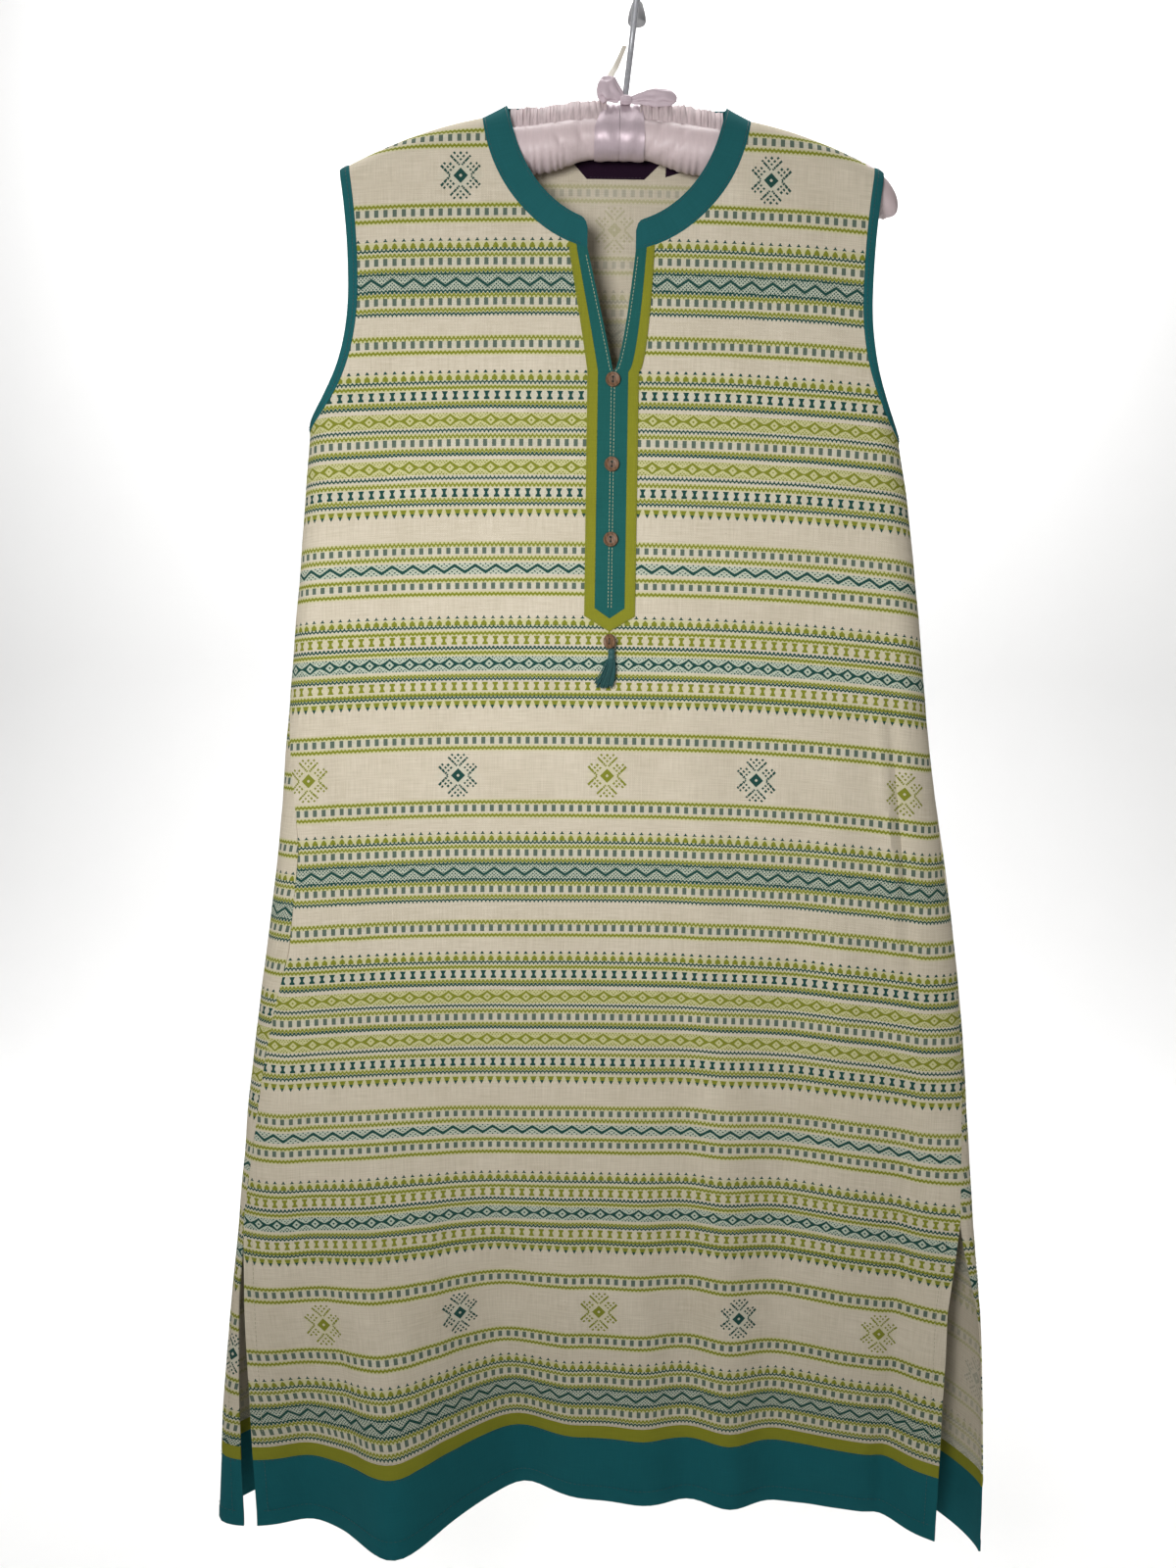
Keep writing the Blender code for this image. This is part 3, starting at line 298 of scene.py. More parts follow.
def unit(vectors):
    """Directions of length 1."""
    return vectors / np.maximum(np.linalg.norm(vectors, axis=-1, keepdims=True), 1e-12)


def run_along(path):
    """Distance run along a line, at each of its points."""
    return np.concatenate([[0], np.cumsum(np.linalg.norm(np.diff(path, axis=0), axis=1))])


def smooth(knots, values, at):
    """Values read off a smooth curve through the rows of a table."""
    knots = np.asarray(knots, float)
    values = np.asarray(values, float)
    slopes = np.gradient(values, knots)
    i = np.clip(np.searchsorted(knots, at) - 1, 0, len(knots) - 2)
    width = knots[i + 1] - knots[i]
    t = np.clip((at - knots[i]) / width, 0.0, 1.0)
    start = (1 + 2 * t) * (1 - t) ** 2 * values[i] + t * (1 - t) ** 2 * width * slopes[i]
    end = t * t * (3 - 2 * t) * values[i + 1] + t * t * (t - 1) * width * slopes[i + 1]
    return start + end


def fold_depth(folds, x, height):
    depth = np.zeros_like(x)
    for x_start, x_hem, half_width, at_hem, start, growth in folds:
        grown = np.clip((start - height) / (start - SECTIONS[1][0]), 0.0, 1.2)
        centre = x_start + (x_hem - x_start) * grown
        depth += at_hem * grown**growth * np.exp(-(((x - centre) / half_width) ** 2))
    return depth


def section_outline(height):
    """Front and back lines of the section at one height, each from its left edge to its right edge."""
    knots = [row[0] for row in SECTIONS]
    columns = [smooth(knots, [row[i] for row in SECTIONS], height) for i in range(1, 8)]
    left, right, y_left, y_right, front, back, rounding = columns
    across = np.sin(np.linspace(-math.pi / 2, math.pi / 2, OUTLINE_POINTS))
    is_left = across < 0
    half_width = np.where(is_left, left, right)
    x = across * half_width
    edge = np.abs(across)
    curl = np.where(is_left, edge ** EDGE_CURL[-1], edge ** EDGE_CURL[1])
    middle = (back - front) / 2
    line = middle + (np.where(is_left, y_left, y_right) - middle) * curl
    flat_until = 1 - rounding / half_width
    turn = np.clip((edge - flat_until) / (1 - flat_until), 0.0, 1.0)
    half_depth = (back + front) / 2 * np.sqrt(1 - turn**2)
    keep_edge = 1 - edge**12
    y_front = line - half_depth - fold_depth(FRONT_FOLDS, x, height) * keep_edge
    y_back = line + half_depth + fold_depth(BACK_FOLDS, x, height) * keep_edge
    return np.stack([x, y_front], -1), np.stack([x, y_back], -1)


class Sections:
    """The garment's sections, stored by height and by place along each face.

    A place is the distance from the centre line as a share of the distance to the edge on its side.
    """

    around = 90
    step = 0.0025

    def __init__(self):
        self.heights = np.linspace(-1.236, -0.084, 241)
        self.places = np.arange(-540, 541) * self.step
        self.points = np.zeros((2, len(self.heights), len(self.places), 2))
        self.edges = np.zeros((2, len(self.heights), 2))
        for k, height in enumerate(self.heights):
            front, back = section_outline(height)
            for face, near, far in ((FRONT, front, back), (BACK, back, front)):
                self.store(face, k, near, far)

    def store(self, face, k, near, far):
        n = self.around
        line = np.concatenate([far[n:0:-1], near, far[-2 : -n - 2 : -1]])
        length = run_along(line)
        length -= length[n + len(near) // 2]
        left, right = -length[n], length[n + len(near) - 1]
        along = self.places * np.where(self.places < 0, left, right)
        self.points[face, k, :, 0] = np.interp(along, length, line[:, 0])
        self.points[face, k, :, 1] = np.interp(along, length, line[:, 1])
        self.edges[face, k] = left, right

    def edge(self, height, face, side):
        """Distance along a face from its centre line to its left or right edge."""
        front, back = (np.interp(height, self.heights, self.edges[f, :, 0 if side < 0 else 1]) for f in FACES)
        return np.where(face == FRONT, front, back)

    def at(self, u, height, face):
        """x and y of points u along a face at a height."""
        place = u / np.where(u < 0, self.edge(height, face, -1), self.edge(height, face, 1))
        step = self.heights[1] - self.heights[0]
        row = np.clip((height - self.heights[0]) / step, 0, len(self.heights) - 1.001)
        column = np.clip((place - self.places[0]) / self.step, 0, len(self.places) - 1.001)
        i, j = row.astype(int), column.astype(int)
        s, t = (row - i)[..., None], (column - j)[..., None]
        near = self.points[face, i, j] * (1 - t) + self.points[face, i, j + 1] * t
        far = self.points[face, i + 1, j] * (1 - t) + self.points[face, i + 1, j + 1] * t
        return near * (1 - s) + far * s


sections = Sections()


def shoulder_height(u):
    """Top of the cloth over the arm: level in the middle, then falling to the tips."""
    out = np.maximum(np.abs(u) - SHOULDER_FLAT, 0.0) / (SHOULDER_HALF - SHOULDER_FLAT)
    return SHOULDER_TOP - SHOULDER_DROP * out**SHOULDER_POWER


NECK_SIDE_HEIGHT = float(shoulder_height(NECK_SIDE))


def droop(u):
    """How far the weave lines sag towards the sides."""
    side = np.where(np.asarray(u) < 0, DROOP[-1], DROOP[1])
    return side * (np.minimum(np.abs(u), DROOP_AT) / DROOP_AT) ** 2.5


def shoulder_cut(u):
    """v of the shoulder seam."""
    return NECK_SIDE_HEIGHT - shoulder_height(u) - droop(u)


def height_of(u, v):
    """Height of a point that hangs free of the hanger."""
    return NECK_SIDE_HEIGHT + CLOTH_RADIUS * (math.pi / 2 - 1) - v - droop(u)


def surface(u, v, face):
    """Middle of the cloth at flat point u, v of a face."""
    travel = v - shoulder_cut(u)
    angle = np.clip(travel / CLOTH_RADIUS, -math.pi / 2, math.pi / 2)
    on_arm = np.abs(travel) < CLOTH_RADIUS * math.pi / 2
    over_arm = CLOTH_RADIUS * (1 - np.cos(angle))
    below_arm = np.abs(travel) + CLOTH_RADIUS * (1 - math.pi / 2)
    height = shoulder_height(u) - np.where(on_arm, over_arm, below_arm)
    xy = sections.at(u, height, face)
    return np.stack([xy[..., 0] + GARMENT_X, xy[..., 1] * np.sin(angle), height], -1)


def creases(u, v, table):
    """Soft troughs and ridges, each along a line in the flat cut and fading out at both ends."""
    depth = np.zeros_like(u)
    for u_a, v_a, u_b, v_b, half_width, height in table:
        length = (u_b - u_a) ** 2 + (v_b - v_a) ** 2
        t = ((u - u_a) * (u_b - u_a) + (v - v_a) * (v_b - v_a)) / length
        aside = ((u - u_a) * (v_b - v_a) - (v - v_a) * (u_b - u_a)) / math.sqrt(length)
        wander = 0.25 * half_width * np.sin(9 * t + 40 * u_a)
        fade = np.sin(np.clip(t, 0, 1) * math.pi) ** 0.7
        depth += height * fade * np.exp(-(((aside - wander) / half_width) ** 2))
    return depth


def ripple(u, v, face):
    """What the hanging cloth does between its folds: listed creases and a slight unevenness."""
    depth = np.where(face == FRONT, creases(u, v, FRONT_CREASES), creases(u, v, BACK_CREASES))
    turn = np.where(face == FRONT, 0.0, 1.9)
    uneven = np.sin(31 * u + 7 * v + turn) * np.sin(23 * v + 11 * u + 2 * turn)
    uneven += 0.6 * np.sin(64 * u - 15 * v + 2.1 + turn) * np.sin(47 * v + 0.7)
    uneven += 0.35 * np.sin(150 * u + 30 * v + turn) * np.sin(95 * v - 20 * u + 1.3)
    free = np.clip((v - shoulder_cut(u) - 0.03) / 0.12, 0.0, 1.0)
    return (depth + UNEVENNESS * uneven) * free


def cloth(flat, face):
    """Places and outward directions of flat points."""
    u, v = flat[:, 0], flat[:, 1]
    face = np.broadcast_to(face, u.shape)
    step = 0.0004
    across = surface(u + step, v, face) - surface(u - step, v, face)
    down = surface(u, v + step, face) - surface(u, v - step, face)
    out = unit(np.cross(across, down)) * np.where(face == FRONT, -1.0, 1.0)[:, None]
    return surface(u, v, face) + out * ripple(u, v, face)[:, None], out


def side_edge(v, face, side):
    """u of a panel's edge at the side seam and, below it, along the slit."""
    knots = [row[0] for row in SEAMS]
    u = side * DROOP_AT
    for _ in range(4):
        height = height_of(u, v)
        shift = np.interp(height, knots, [row[1 if side < 0 else 2] for row in SEAMS])
        slit = np.interp(height, knots, [row[3 if side < 0 else 4] for row in SEAMS])
        turned = -shift if face == FRONT else shift
        u = side * (sections.edge(height, face, side) + turned - slit / 2 - SEAM / 2)
    return float(u)


def neck_point(travel, half, depth, side):
    """Point of a neck curve, given by the distance from the shoulder line."""
    reach = depth - float(shoulder_cut(0.0))
    u = half * math.sqrt(max(0.0, 1 - (travel / reach) ** 2))
    return side * u, travel + float(shoulder_cut(side * u))


def neck_travel(u, half, depth):
    reach = depth - float(shoulder_cut(0.0))
    return reach * math.sqrt(1 - (u / half) ** 2)


def vee_top(side):
    """v of the corner where the neck meets the slit."""
    return neck_point(neck_travel(VEE_HALF[side], NECK_SIDE, FRONT_NECK), NECK_SIDE, FRONT_NECK, side)[1]


def vee_edge(v, side):
    """u of the slit's edge, open at the neck and closed at the first button."""
    top = vee_top(side)
    t = np.clip((v - top) / (VEE_BOTTOM - top), 0.0, 1.0)
    return side * VEE_HALF[side] * (1 - t) ** VEE_POWER[side]


# Rows and columns of the panels
ARM_STEPS = 15
ARM_REACH = 0.0285
ARM_TRAVELS = [SEAM / 2] + [ARM_REACH * k / ARM_STEPS for k in range(1, ARM_STEPS + 1)]
NECK_STEPS = 18
BACK_NECK_STEPS = 22
VEE_STEPS = 26
UNDERARM_STEPS = 30
STRAIGHTENING_ROWS = 12
LOWER_ROWS = 150
COLUMNS = 52
COLUMN_CROWD = 1.15


def armhole_line(face, side, inset):
    """Points of the armhole's edge from the shoulder to the underarm, inset by the binding or by nothing."""
    tip = ARMHOLE_TIP[side] - inset
    middle = ARMHOLE_MID[side] - inset
    bottom = UNDERARM + inset
    under = abs(side_edge(bottom, face, side))
    top = float(shoulder_cut(side * tip))
    upper = [top + a for a in ARM_TRAVELS]
    straight = NECK_STEPS + VEE_STEPS - UNDERARM_STEPS - 1
    upper += list(np.linspace(upper[-1], ARMHOLE_MID_V, straight + 2)[1:-1])
    points = []
    for v in upper:
        q = (v - top) / (ARMHOLE_MID_V - top)
        points.append((side * (middle + (tip - middle) * (1 - q) ** 2), v))
    for k in range(UNDERARM_STEPS + 1):
        turn = math.pi / 2 * k / UNDERARM_STEPS
        u = middle + (under - middle) * (1 - math.cos(turn))
        points.append((side * u, ARMHOLE_MID_V + (bottom - ARMHOLE_MID_V) * math.sin(turn)))
    return points


def front_inner(side):
    """Front panel's inner edge: neck, slit."""
    corner = neck_travel(VEE_HALF[side], NECK_SIDE, FRONT_NECK)
    last = ARM_TRAVELS[-1]
    runs = [1 - (1 - k / NECK_STEPS) ** 1.35 for k in range(1, NECK_STEPS + 1)]
    travels = ARM_TRAVELS + [last + (corner - last) * f for f in runs]
    points = [neck_point(a, NECK_SIDE, FRONT_NECK, side) for a in travels]
    top = points[-1][1]
    levels = [top + (VEE_BOTTOM - top) * k / VEE_STEPS for k in range(1, VEE_STEPS + 1)]
    return points + [(float(vee_edge(v, side)), v) for v in levels]


def back_inner(side):
    """Back panel's inner edge: neck, then the first stretch of its centre line."""
    reach = BACK_NECK - float(shoulder_cut(0.0))
    turns = [math.pi / 2 * k / BACK_NECK_STEPS for k in range(1, BACK_NECK_STEPS + 1)]
    travels = [SEAM / 2] + [reach * math.sin(t) for t in turns]
    points = [neck_point(a, NECK_SIDE, BACK_NECK, side) for a in travels]
    left = len(ARM_TRAVELS) + NECK_STEPS + VEE_STEPS - len(points)
    return points + [(0.0, v) for v in np.linspace(BACK_NECK, VEE_BOTTOM, left + 1)[1:]]


def spread(count):
    """Fractions from a panel's centre to its side, closer together at the side."""
    return [1 - (1 - j / count) ** COLUMN_CROWD for j in range(count + 1)]


def half_panel(inner, outer, face, side, bottom):
    """Rows of flat points of half a panel, from its inner to its outer edge."""
    start_inner, start_outer = inner[-1][1], outer[-1][1]
    for k in range(1, LOWER_ROWS + 1):
        part = k / LOWER_ROWS
        v = start_outer + (bottom - start_outer) * part
        inner = inner + [(0.0, start_inner + (bottom - start_inner) * part)]
        outer = outer + [(side_edge(v, face, side), v)]
    rows = []
    on_arm = len(ARM_TRAVELS)
    for k, (near, far) in enumerate(zip(inner, outer)):
        free = min(1.0, max(0.0, (k - on_arm + 1) / STRAIGHTENING_ROWS))
        seam_near, seam_far = (v - float(shoulder_cut(u)) for u, v in (near, far))
        row = []
        for part in spread(COLUMNS):
            u, v_straight = (a + (b - a) * part for a, b in zip(near, far))
            v_seam = seam_near + (seam_far - seam_near) * part + float(shoulder_cut(u))
            row.append((u, v_seam * (1 - free) + v_straight * free))
        rows.append(row if side > 0 else row[::-1])
    return rows


def across_rows(levels, face):
    """Rows of flat points from side to side of a panel at given lengths down it."""
    rows = []
    parts = spread(COLUMNS)
    for v in levels:
        left, right = side_edge(v, face, -1), side_edge(v, face, 1)
        rows.append([(left * f, v) for f in reversed(parts)] + [(right * f, v) for f in parts[1:]])
    return rows


def grid(rows):
    """Points and quads of rows of points."""
    points = np.array(rows, float)
    count, width = points.shape[:2]
    index = np.arange(count * width).reshape(count, width)
    corners = [index[:-1, :-1], index[:-1, 1:], index[1:, 1:], index[1:, :-1]]
    return points.reshape(-1, points.shape[2]), np.stack(corners, -1).reshape(-1, 4)


def joined(patches):
    """One set of points and quads from patches that share points."""
    points, quads, start = [], [], 0
    for patch_points, patch_quads in patches:
        points.append(patch_points)
        quads.append(patch_quads + start)
        start += len(patch_points)
    points, quads = np.concatenate(points), np.concatenate(quads)
    shared = np.round(points, 7) + 0.0
    _, first, index = np.unique(shared, axis=0, return_index=True, return_inverse=True)
    return points[first], index.reshape(-1)[quads]


# Shader maths


def worked(operation, reflected=False):
    """A method of Value that adds one Math node."""
    if reflected:
        return lambda value, other: value.look.math(operation, other, value)
    return lambda value, *others: value.look.math(operation, value, *others)


class Value:
    """A socket of a material, so that shader maths reads as Python."""

    def __init__(self, look, socket):
        self.look = look
        self.socket = socket

    __add__ = __radd__ = worked("ADD")
    __sub__ = worked("SUBTRACT")
    __rsub__ = worked("SUBTRACT", reflected=True)
    __mul__ = __rmul__ = worked("MULTIPLY")
    __truediv__ = worked("DIVIDE")
    __rtruediv__ = worked("DIVIDE", reflected=True)
    __pow__ = worked("POWER")
    __mod__ = worked("FLOORED_MODULO")
    __abs__ = worked("ABSOLUTE")
    __gt__ = worked("GREATER_THAN")
    __lt__ = worked("LESS_THAN")
    most = worked("MAXIMUM")
    least = worked("MINIMUM")
    floor = worked("FLOOR")
    sine = worked("SINE")
    times_plus = worked("MULTIPLY_ADD")

    def held(self):
        """Kept between 0 and 1."""
        return self.most(0.0).least(1.0)


class Look:
    """One material and the nodes that make it."""

    def __init__(self, name, **sockets):
        self.material = bpy.data.materials.new(name)
        self.material.use_nodes = True
        self.tree = self.material.node_tree
        self.shader = self.tree.nodes["Principled BSDF"]
        for socket, value in sockets.items():
            self.shader.inputs[socket.replace("_", " ")].default_value = value

    def node(self, kind, settings=(), values=(), output=0):
        """Adds a node and gives one of its outputs."""
        made = self.tree.nodes.new(kind)
        for key, value in dict(settings).items():
            setattr(made, key, value)
        for key, value in dict(values).items():
            socket = made.inputs[key]
            if isinstance(value, Value):
                self.tree.links.new(value.socket, socket)
            elif hasattr(value, "__len__"):
                socket.default_value = (*value, 1.0)
            else:
                socket.default_value = value
        return Value(self, made.outputs[output])

    def math(self, operation, *values):
        return self.node("ShaderNodeMath", {"operation": operation}, enumerate(values))

    def mix(self, amount, a, b):
        """Colour a turning into colour b."""
        return self.node("ShaderNodeMix", {"data_type": "RGBA"}, {0: amount, 6: a, 7: b}, 2)

    def in_millimetres(self, found, count):
        parts = self.node("ShaderNodeSeparateXYZ", (), {0: found}).socket.node.outputs
        return [Value(self, part) * 1000.0 for part in parts[:count]]

    def cut(self):
        """Place in the flat cut, in millimetres across and down."""
        return self.in_millimetres(self.node("ShaderNodeUVMap", {"uv_map": "cut"}), 2)

    def place(self):
        """Place in space, in millimetres."""
        return self.in_millimetres(self.node("ShaderNodeTexCoord", output="Object"), 3)

    def noise(self, x, y, z, detail=2.0, rough=0.5):
        at = self.node("ShaderNodeCombineXYZ", (), {0: x, 1: y, 2: z})
        values = {"Vector": at, "Scale": 1.0, "Detail": detail, "Roughness": rough}
        return self.node("ShaderNodeTexNoise", {"noise_dimensions": "3D"}, values)

    def noise_in_space(self, scale, detail, rough=0.5):
        """Noise fixed in space. scale is its fineness along each axis."""
        return self.noise(*(at * fine for at, fine in zip(self.place(), scale)), detail, rough)

    def finish(self, colour, height=None, distance=0.0, strength=0.5, rough=None):
        """Links what changes over the surface, and gives the material."""
        linked = {"Base Color": colour, "Roughness": rough}
        if height is not None:
            values = {"Height": height, "Distance": distance, "Strength": strength}
            linked["Normal"] = self.node("ShaderNodeBump", (), values)
        for name, value in linked.items():
            if value is not None:
                self.tree.links.new(value.socket, self.shader.inputs[name])
        return self.material


# Woven pattern


def nearest(at, rows):
    """Signed distance from at to the nearest of some rows."""
    near = None
    for low, high in zip(rows, rows[1:]):
        past = at > (low + high) / 2
        near = past * (high - low) if near is None else past.times_plus(high - low, near)
    return at - near - rows[0]


def tent(at, period):
    """Runs from 1 down to 0 and back once in each period."""
    return abs((at / period) % 1.0 - 0.5) * 2.0


def centred(at, period):
    """Signed distance from the nearest multiple of the period."""
    return (at + period / 2) % period - period / 2


def dots(across, down, size):
    """Staggered dots, one at each whole number of across + down and across - down."""
    return (abs(centred(across + down, 1.0)) < size) * (abs(centred(across - down, 1.0)) < size)


def soft(distance, reach):
    """1 near a row, falling to 0 at some reach."""
    return (1.6 - abs(distance) * (1.6 / reach)).held()


def either(lime, teal, shape, is_lime):
    """Adds a shape to the lime yarn where is_lime is 1, and to the teal yarn elsewhere."""
    return lime.most(shape * is_lime), teal.most(shape * (1.0 - is_lime))


def woven_rows(u, along):
    """How much lime, teal and block yarn shows at a place, and how far each tints the ground round it."""
    lime_zig = nearest(along, LIME_ZIG_ROWS)
    teal_zig = nearest(along, TEAL_ZIG_ROWS)
    zig = tent(u, ZIG_STEP) * 2.0 - 1.0
    lime = abs(lime_zig + zig) < 1.04
    teal = abs(teal_zig + zig) < 0.92
    yellow = soft(lime_zig, 2.9)
    aqua = soft(teal_zig, 2.4) * 0.35

    row = nearest(along, BLOCK_ROWS)
    blocks = (abs(row) < 2.5) * (abs(centred(u, BLOCK_STEP)) < 1.75)
    aqua = aqua.most(soft(row, 3.6) * 0.3)

    later = along > LATER_ROWS
    row = abs(nearest(along, HOURGLASS_ROWS))
    half = (row * 0.85 + 0.42).most(0.9).least(2.25)
    lime, teal = either(lime, teal, (row < 3.15) * (abs(centred(u, HOURGLASS_STEP)) < half), later)
    yellow = yellow.most(soft(row, 4.2) * 0.35 * later)
    aqua = aqua.most(soft(row, 4.2) * 0.3 * (1.0 - later))

    row = abs(nearest(along, DIAMOND_ROWS))
    across = abs(centred(u, DIAMOND_STEP))
    side = (1.0 - across / 7.6).held() ** 1.35 * 4.3 + 0.55
    eye = across + row
    ring = (eye > 0.95) * (eye < 3.1)
    beads = dots(u / 2.5375, row / 2.8 + 0.25, 0.27) * (row > side + 1.25) * (row < 5.5)
    lime, teal = either(lime, teal, ((row < side) * (1.0 - ring)).most(beads), 1.0 - later)
    yellow, aqua = either(yellow, aqua, soft(row, 11.0) * (row < 5.6), 1.0 - later)

    row = nearest(along, TOOTH_ROWS)
    across = abs(centred(u, BLOCK_STEP))
    lime = lime.most((abs(row + 0.3) < 2.2) * (across < ((row + 3.1) * 0.75).least(2.3)))
    teal = teal.most((abs(row + 4.6) < 1.2) * (across < (row + 5.9) * 0.72))
    yellow = yellow.most(soft(row + 0.4, 4.0) * 0.8)
    row = nearest(along, HANGING_TOOTH_ROWS)
    lime = lime.most((abs(row + 0.2) < 1.6) * (across < 1.95 - row * 0.3))
    teal = teal.most((abs(row - 2.8) < 1.5) * (across < (4.5 - row) * 0.53))
    yellow = yellow.most(soft(row + 0.4, 3.6) * 0.7)

    for centre, edge, pitch, dot, first in ZIGZAGS:
        row = along - centre
        line = abs(row + 2.6 - tent(u, ZIGZAG_STEP) * 5.2)
        inside = abs(row) < edge
        beads = dots(u / pitch, (abs(row) - first) / 2.75, dot) * (line > 1.75)
        teal = teal.most(inside * (line < 1.3).most(beads))
        aqua = aqua.most(inside * 0.85)

    star = (u / STAR_STEP + 0.5).floor()
    x, y = abs(u - star * STAR_STEP), abs(along)
    total, apart = x + y, x - y
    heart = (total < 5.6) * (total > 1.5)
    ring = abs(centred(total - 20.4, 4.6)) < 1.15
    upright = (apart < -5.4) * (abs(centred(apart + 6.6, 4.6)) < 1.15)
    level = (apart > -1.8) * (apart < 8.7) * (y < 9.4) * (abs(centred(apart - 7.4, 4.0)) < 1.15)
    edge = (abs(apart - 7.4) < 1.0).most(abs(apart + 6.6) < 1.0) * (abs(centred(total - 20.4, 2.3)) < 0.8)
    stars = heart.most((upright.most(level) * ring).most(edge) * (total > 7.8) * (total < 22.0) * (y < 16.9))
    is_lime = 1.0 - abs(star) % 2.0
    lime, teal = either(lime, teal, stars, is_lime)
    yellow, aqua = either(yellow, aqua, soft(total, 19.0) * 0.35, is_lime)
    return lime, teal, blocks, yellow, aqua


def shade(colour, share):
    """A colour made darker or lighter."""
    return tuple(min(1.0, c * share) for c in colour)


def weave_grain(look, u, v, pitch):
    """Uneven yarns both ways, from 0 to 1, and the height of the woven threads."""
    weft = look.noise(u * 0.05, v * (1.0 / pitch), 3.0, 3.0)
    warp = look.noise(u * (1.0 / pitch), v * 0.05, 11.0, 3.0)
    broad = look.noise(u * 0.02, v * 0.02, 7.0, 2.0)
    grain = weft * 0.42 + warp * 0.38 + broad * 0.2
    over = (u * (math.pi / pitch)).sine() * (v * (math.pi / pitch)).sine()
    return grain, over * 0.5 + weft * 0.6 + warp * 0.6


def whole_threads(at, thread):
    """Middle of the thread at a place."""
    return ((at / thread).floor() + 0.5) * thread


def along_repeat(v, thread, shift):
    """Place down the repeat in millimetres, from a little above a row of stars, in whole threads."""
    first, second, third = (1000 * row for row in STAR_ROWS)
    at = v - shift
    upper = (at - first) * (REPEAT / (second - first))
    lower = (at - second) * (REPEAT / (third - second)) + REPEAT
    along = (upper + (at > second) * (lower - upper) + ABOVE_STARS) % REPEAT - ABOVE_STARS
    return whole_threads(along, thread)


def woven_cloth(name, settings, shift, shown):
    """Cream cloth with its woven rows. shown is 1 on the right side and less on the wrong side."""
    look = Look(name, Roughness=0.92, Specular_IOR_Level=0.12)
    u, v = look.cut()
    thread = settings.thread * 1000
    along = along_repeat(v, thread, shift)
    lime, teal, blocks, yellow, aqua = woven_rows(whole_threads(u, thread), along)
    grain, height = weave_grain(look, u, v, 0.8)
    colour = look.mix((grain * 2.6 - 0.8).held(), settings.cream_shade, settings.cream)
    fleck = (look.noise(u * 0.35, v * 1.3, 5.0, 1.0) > 0.735) * (look.noise(u * 0.06, v * 0.06, 9.0) > 0.52)
    colour = look.mix(fleck * 0.35, colour, (0.16, 0.12, 0.07))
    worn = (grain * 1.6 + 0.42).held() * shown
    for amount, yarn in (
        (yellow * (0.75 * shown), settings.yellow_ground),
        (aqua * (0.7 * shown), settings.aqua_ground),
        (blocks * worn * 0.9, settings.block),
        (lime * worn, settings.lime_yarn),
        (teal * worn, settings.teal_yarn),
    ):
        colour = look.mix(amount, colour, yarn)
    return look.finish(colour, height + lime * 0.5 + teal * 0.5 + blocks * 0.5, 0.00022, 0.55)


def plain_cloth(name, colour, pitch=0.55):
    """One-coloured cotton with a fine weave."""
    look = Look(name, Roughness=0.95, Specular_IOR_Level=0.08)
    grain, height = weave_grain(look, *look.cut(), pitch)
    light = tuple(c * 1.12 + 0.002 for c in colour)
    return look.finish(look.mix((grain * 2.4 - 0.7).held(), shade(colour, 0.86), light), height, 0.00016)


def satin_cloth(name, colour, rough, crush, gloss=0.0, painted_pleat_shade=0.0):
    """Satin: a soft gloss that breaks up along its warp, in its bump and as painted sheen streaks in its
    colour. With pleat shade set, painted shade darkens the gathered satin between its pleats.
    """
    look = Look(name, Roughness=rough, Specular_IOR_Level=0.42, Metallic=gloss, Anisotropic=0.35)
    streaks = look.noise_in_space((0.9, 0.10, 0.10), 4.0, 0.6)
    crushed = look.noise_in_space((0.16, 0.12, 0.12), 5.0, 0.62)
    # Painted sheen: the colour is darker along the streaks where the gloss breaks up; the same streaks also
    # feed the bump
    ground = look.mix((streaks * 1.4 - 0.2).held(), shade(colour, 0.86), colour)
    if painted_pleat_shade:
        # Painted shade: darker bands of colour between the pleats of gathered satin
        between = look.noise_in_space((0.7, 0.05, 0.09), 3.0, 0.6)
        ground = look.mix(((between - 0.5) * 5.0 + 0.35).held() * painted_pleat_shade, ground, shade(colour, 0.35))
    dull = (crushed * 0.35 + (rough - 0.12)).held()
    return look.finish(ground, crushed * crush + streaks * 0.15, 0.0009, 0.45, dull)


def turned_wood(name, colour):
    look = Look(name, Specular_IOR_Level=0.4)
    x, _, z = look.place()
    warp = look.noise_in_space((0.3, 0.3, 0.3), 3.0)
    rings = (x * 1.9 + z * 0.7 + warp * 7.0).sine() * 0.5 + 0.5
    pores = look.noise_in_space((3.0, 3.0, 0.9), 4.0)
    ground = look.mix((rings * 0.6 + pores * 0.5 - 0.1).held(), shade(colour, 0.42), colour)
    return look.finish(ground, pores + rings * 0.3, 0.00012, rough=(pores * 0.3 + 0.35).held())


def drawn_wire(name, colour):
    look = Look(name, Metallic=0.30)
    lines = look.noise_in_space((3.5, 3.5, 0.12), 3.0)
    spots = look.noise_in_space((0.6, 0.6, 0.6), 3.0)
    ground = look.mix((spots * 1.8 - 0.5).held(), shade(colour, 0.7), colour)
    return look.finish(ground, lines, 0.00004, 0.4, (lines * 0.25 + spots * 0.2 + 0.14).held())


def moulded_grey(name, colour):
    look = Look(name)
    grain = look.noise_in_space((2.0, 2.0, 2.0), 4.0)
    ground = look.mix(grain, shade(colour, 0.85), colour)
    return look.finish(ground, grain, 0.00005, rough=(grain * 0.3 + 0.35).held())


def sewing_thread(name, colour):
    look = Look(name, Roughness=0.6, Sheen_Weight=0.2)
    twist = look.noise_in_space((2.2, 2.2, 2.2), 2.0)
    return look.finish(look.mix(twist, shade(colour, 0.7), colour), twist, 0.00006)


# Meshes


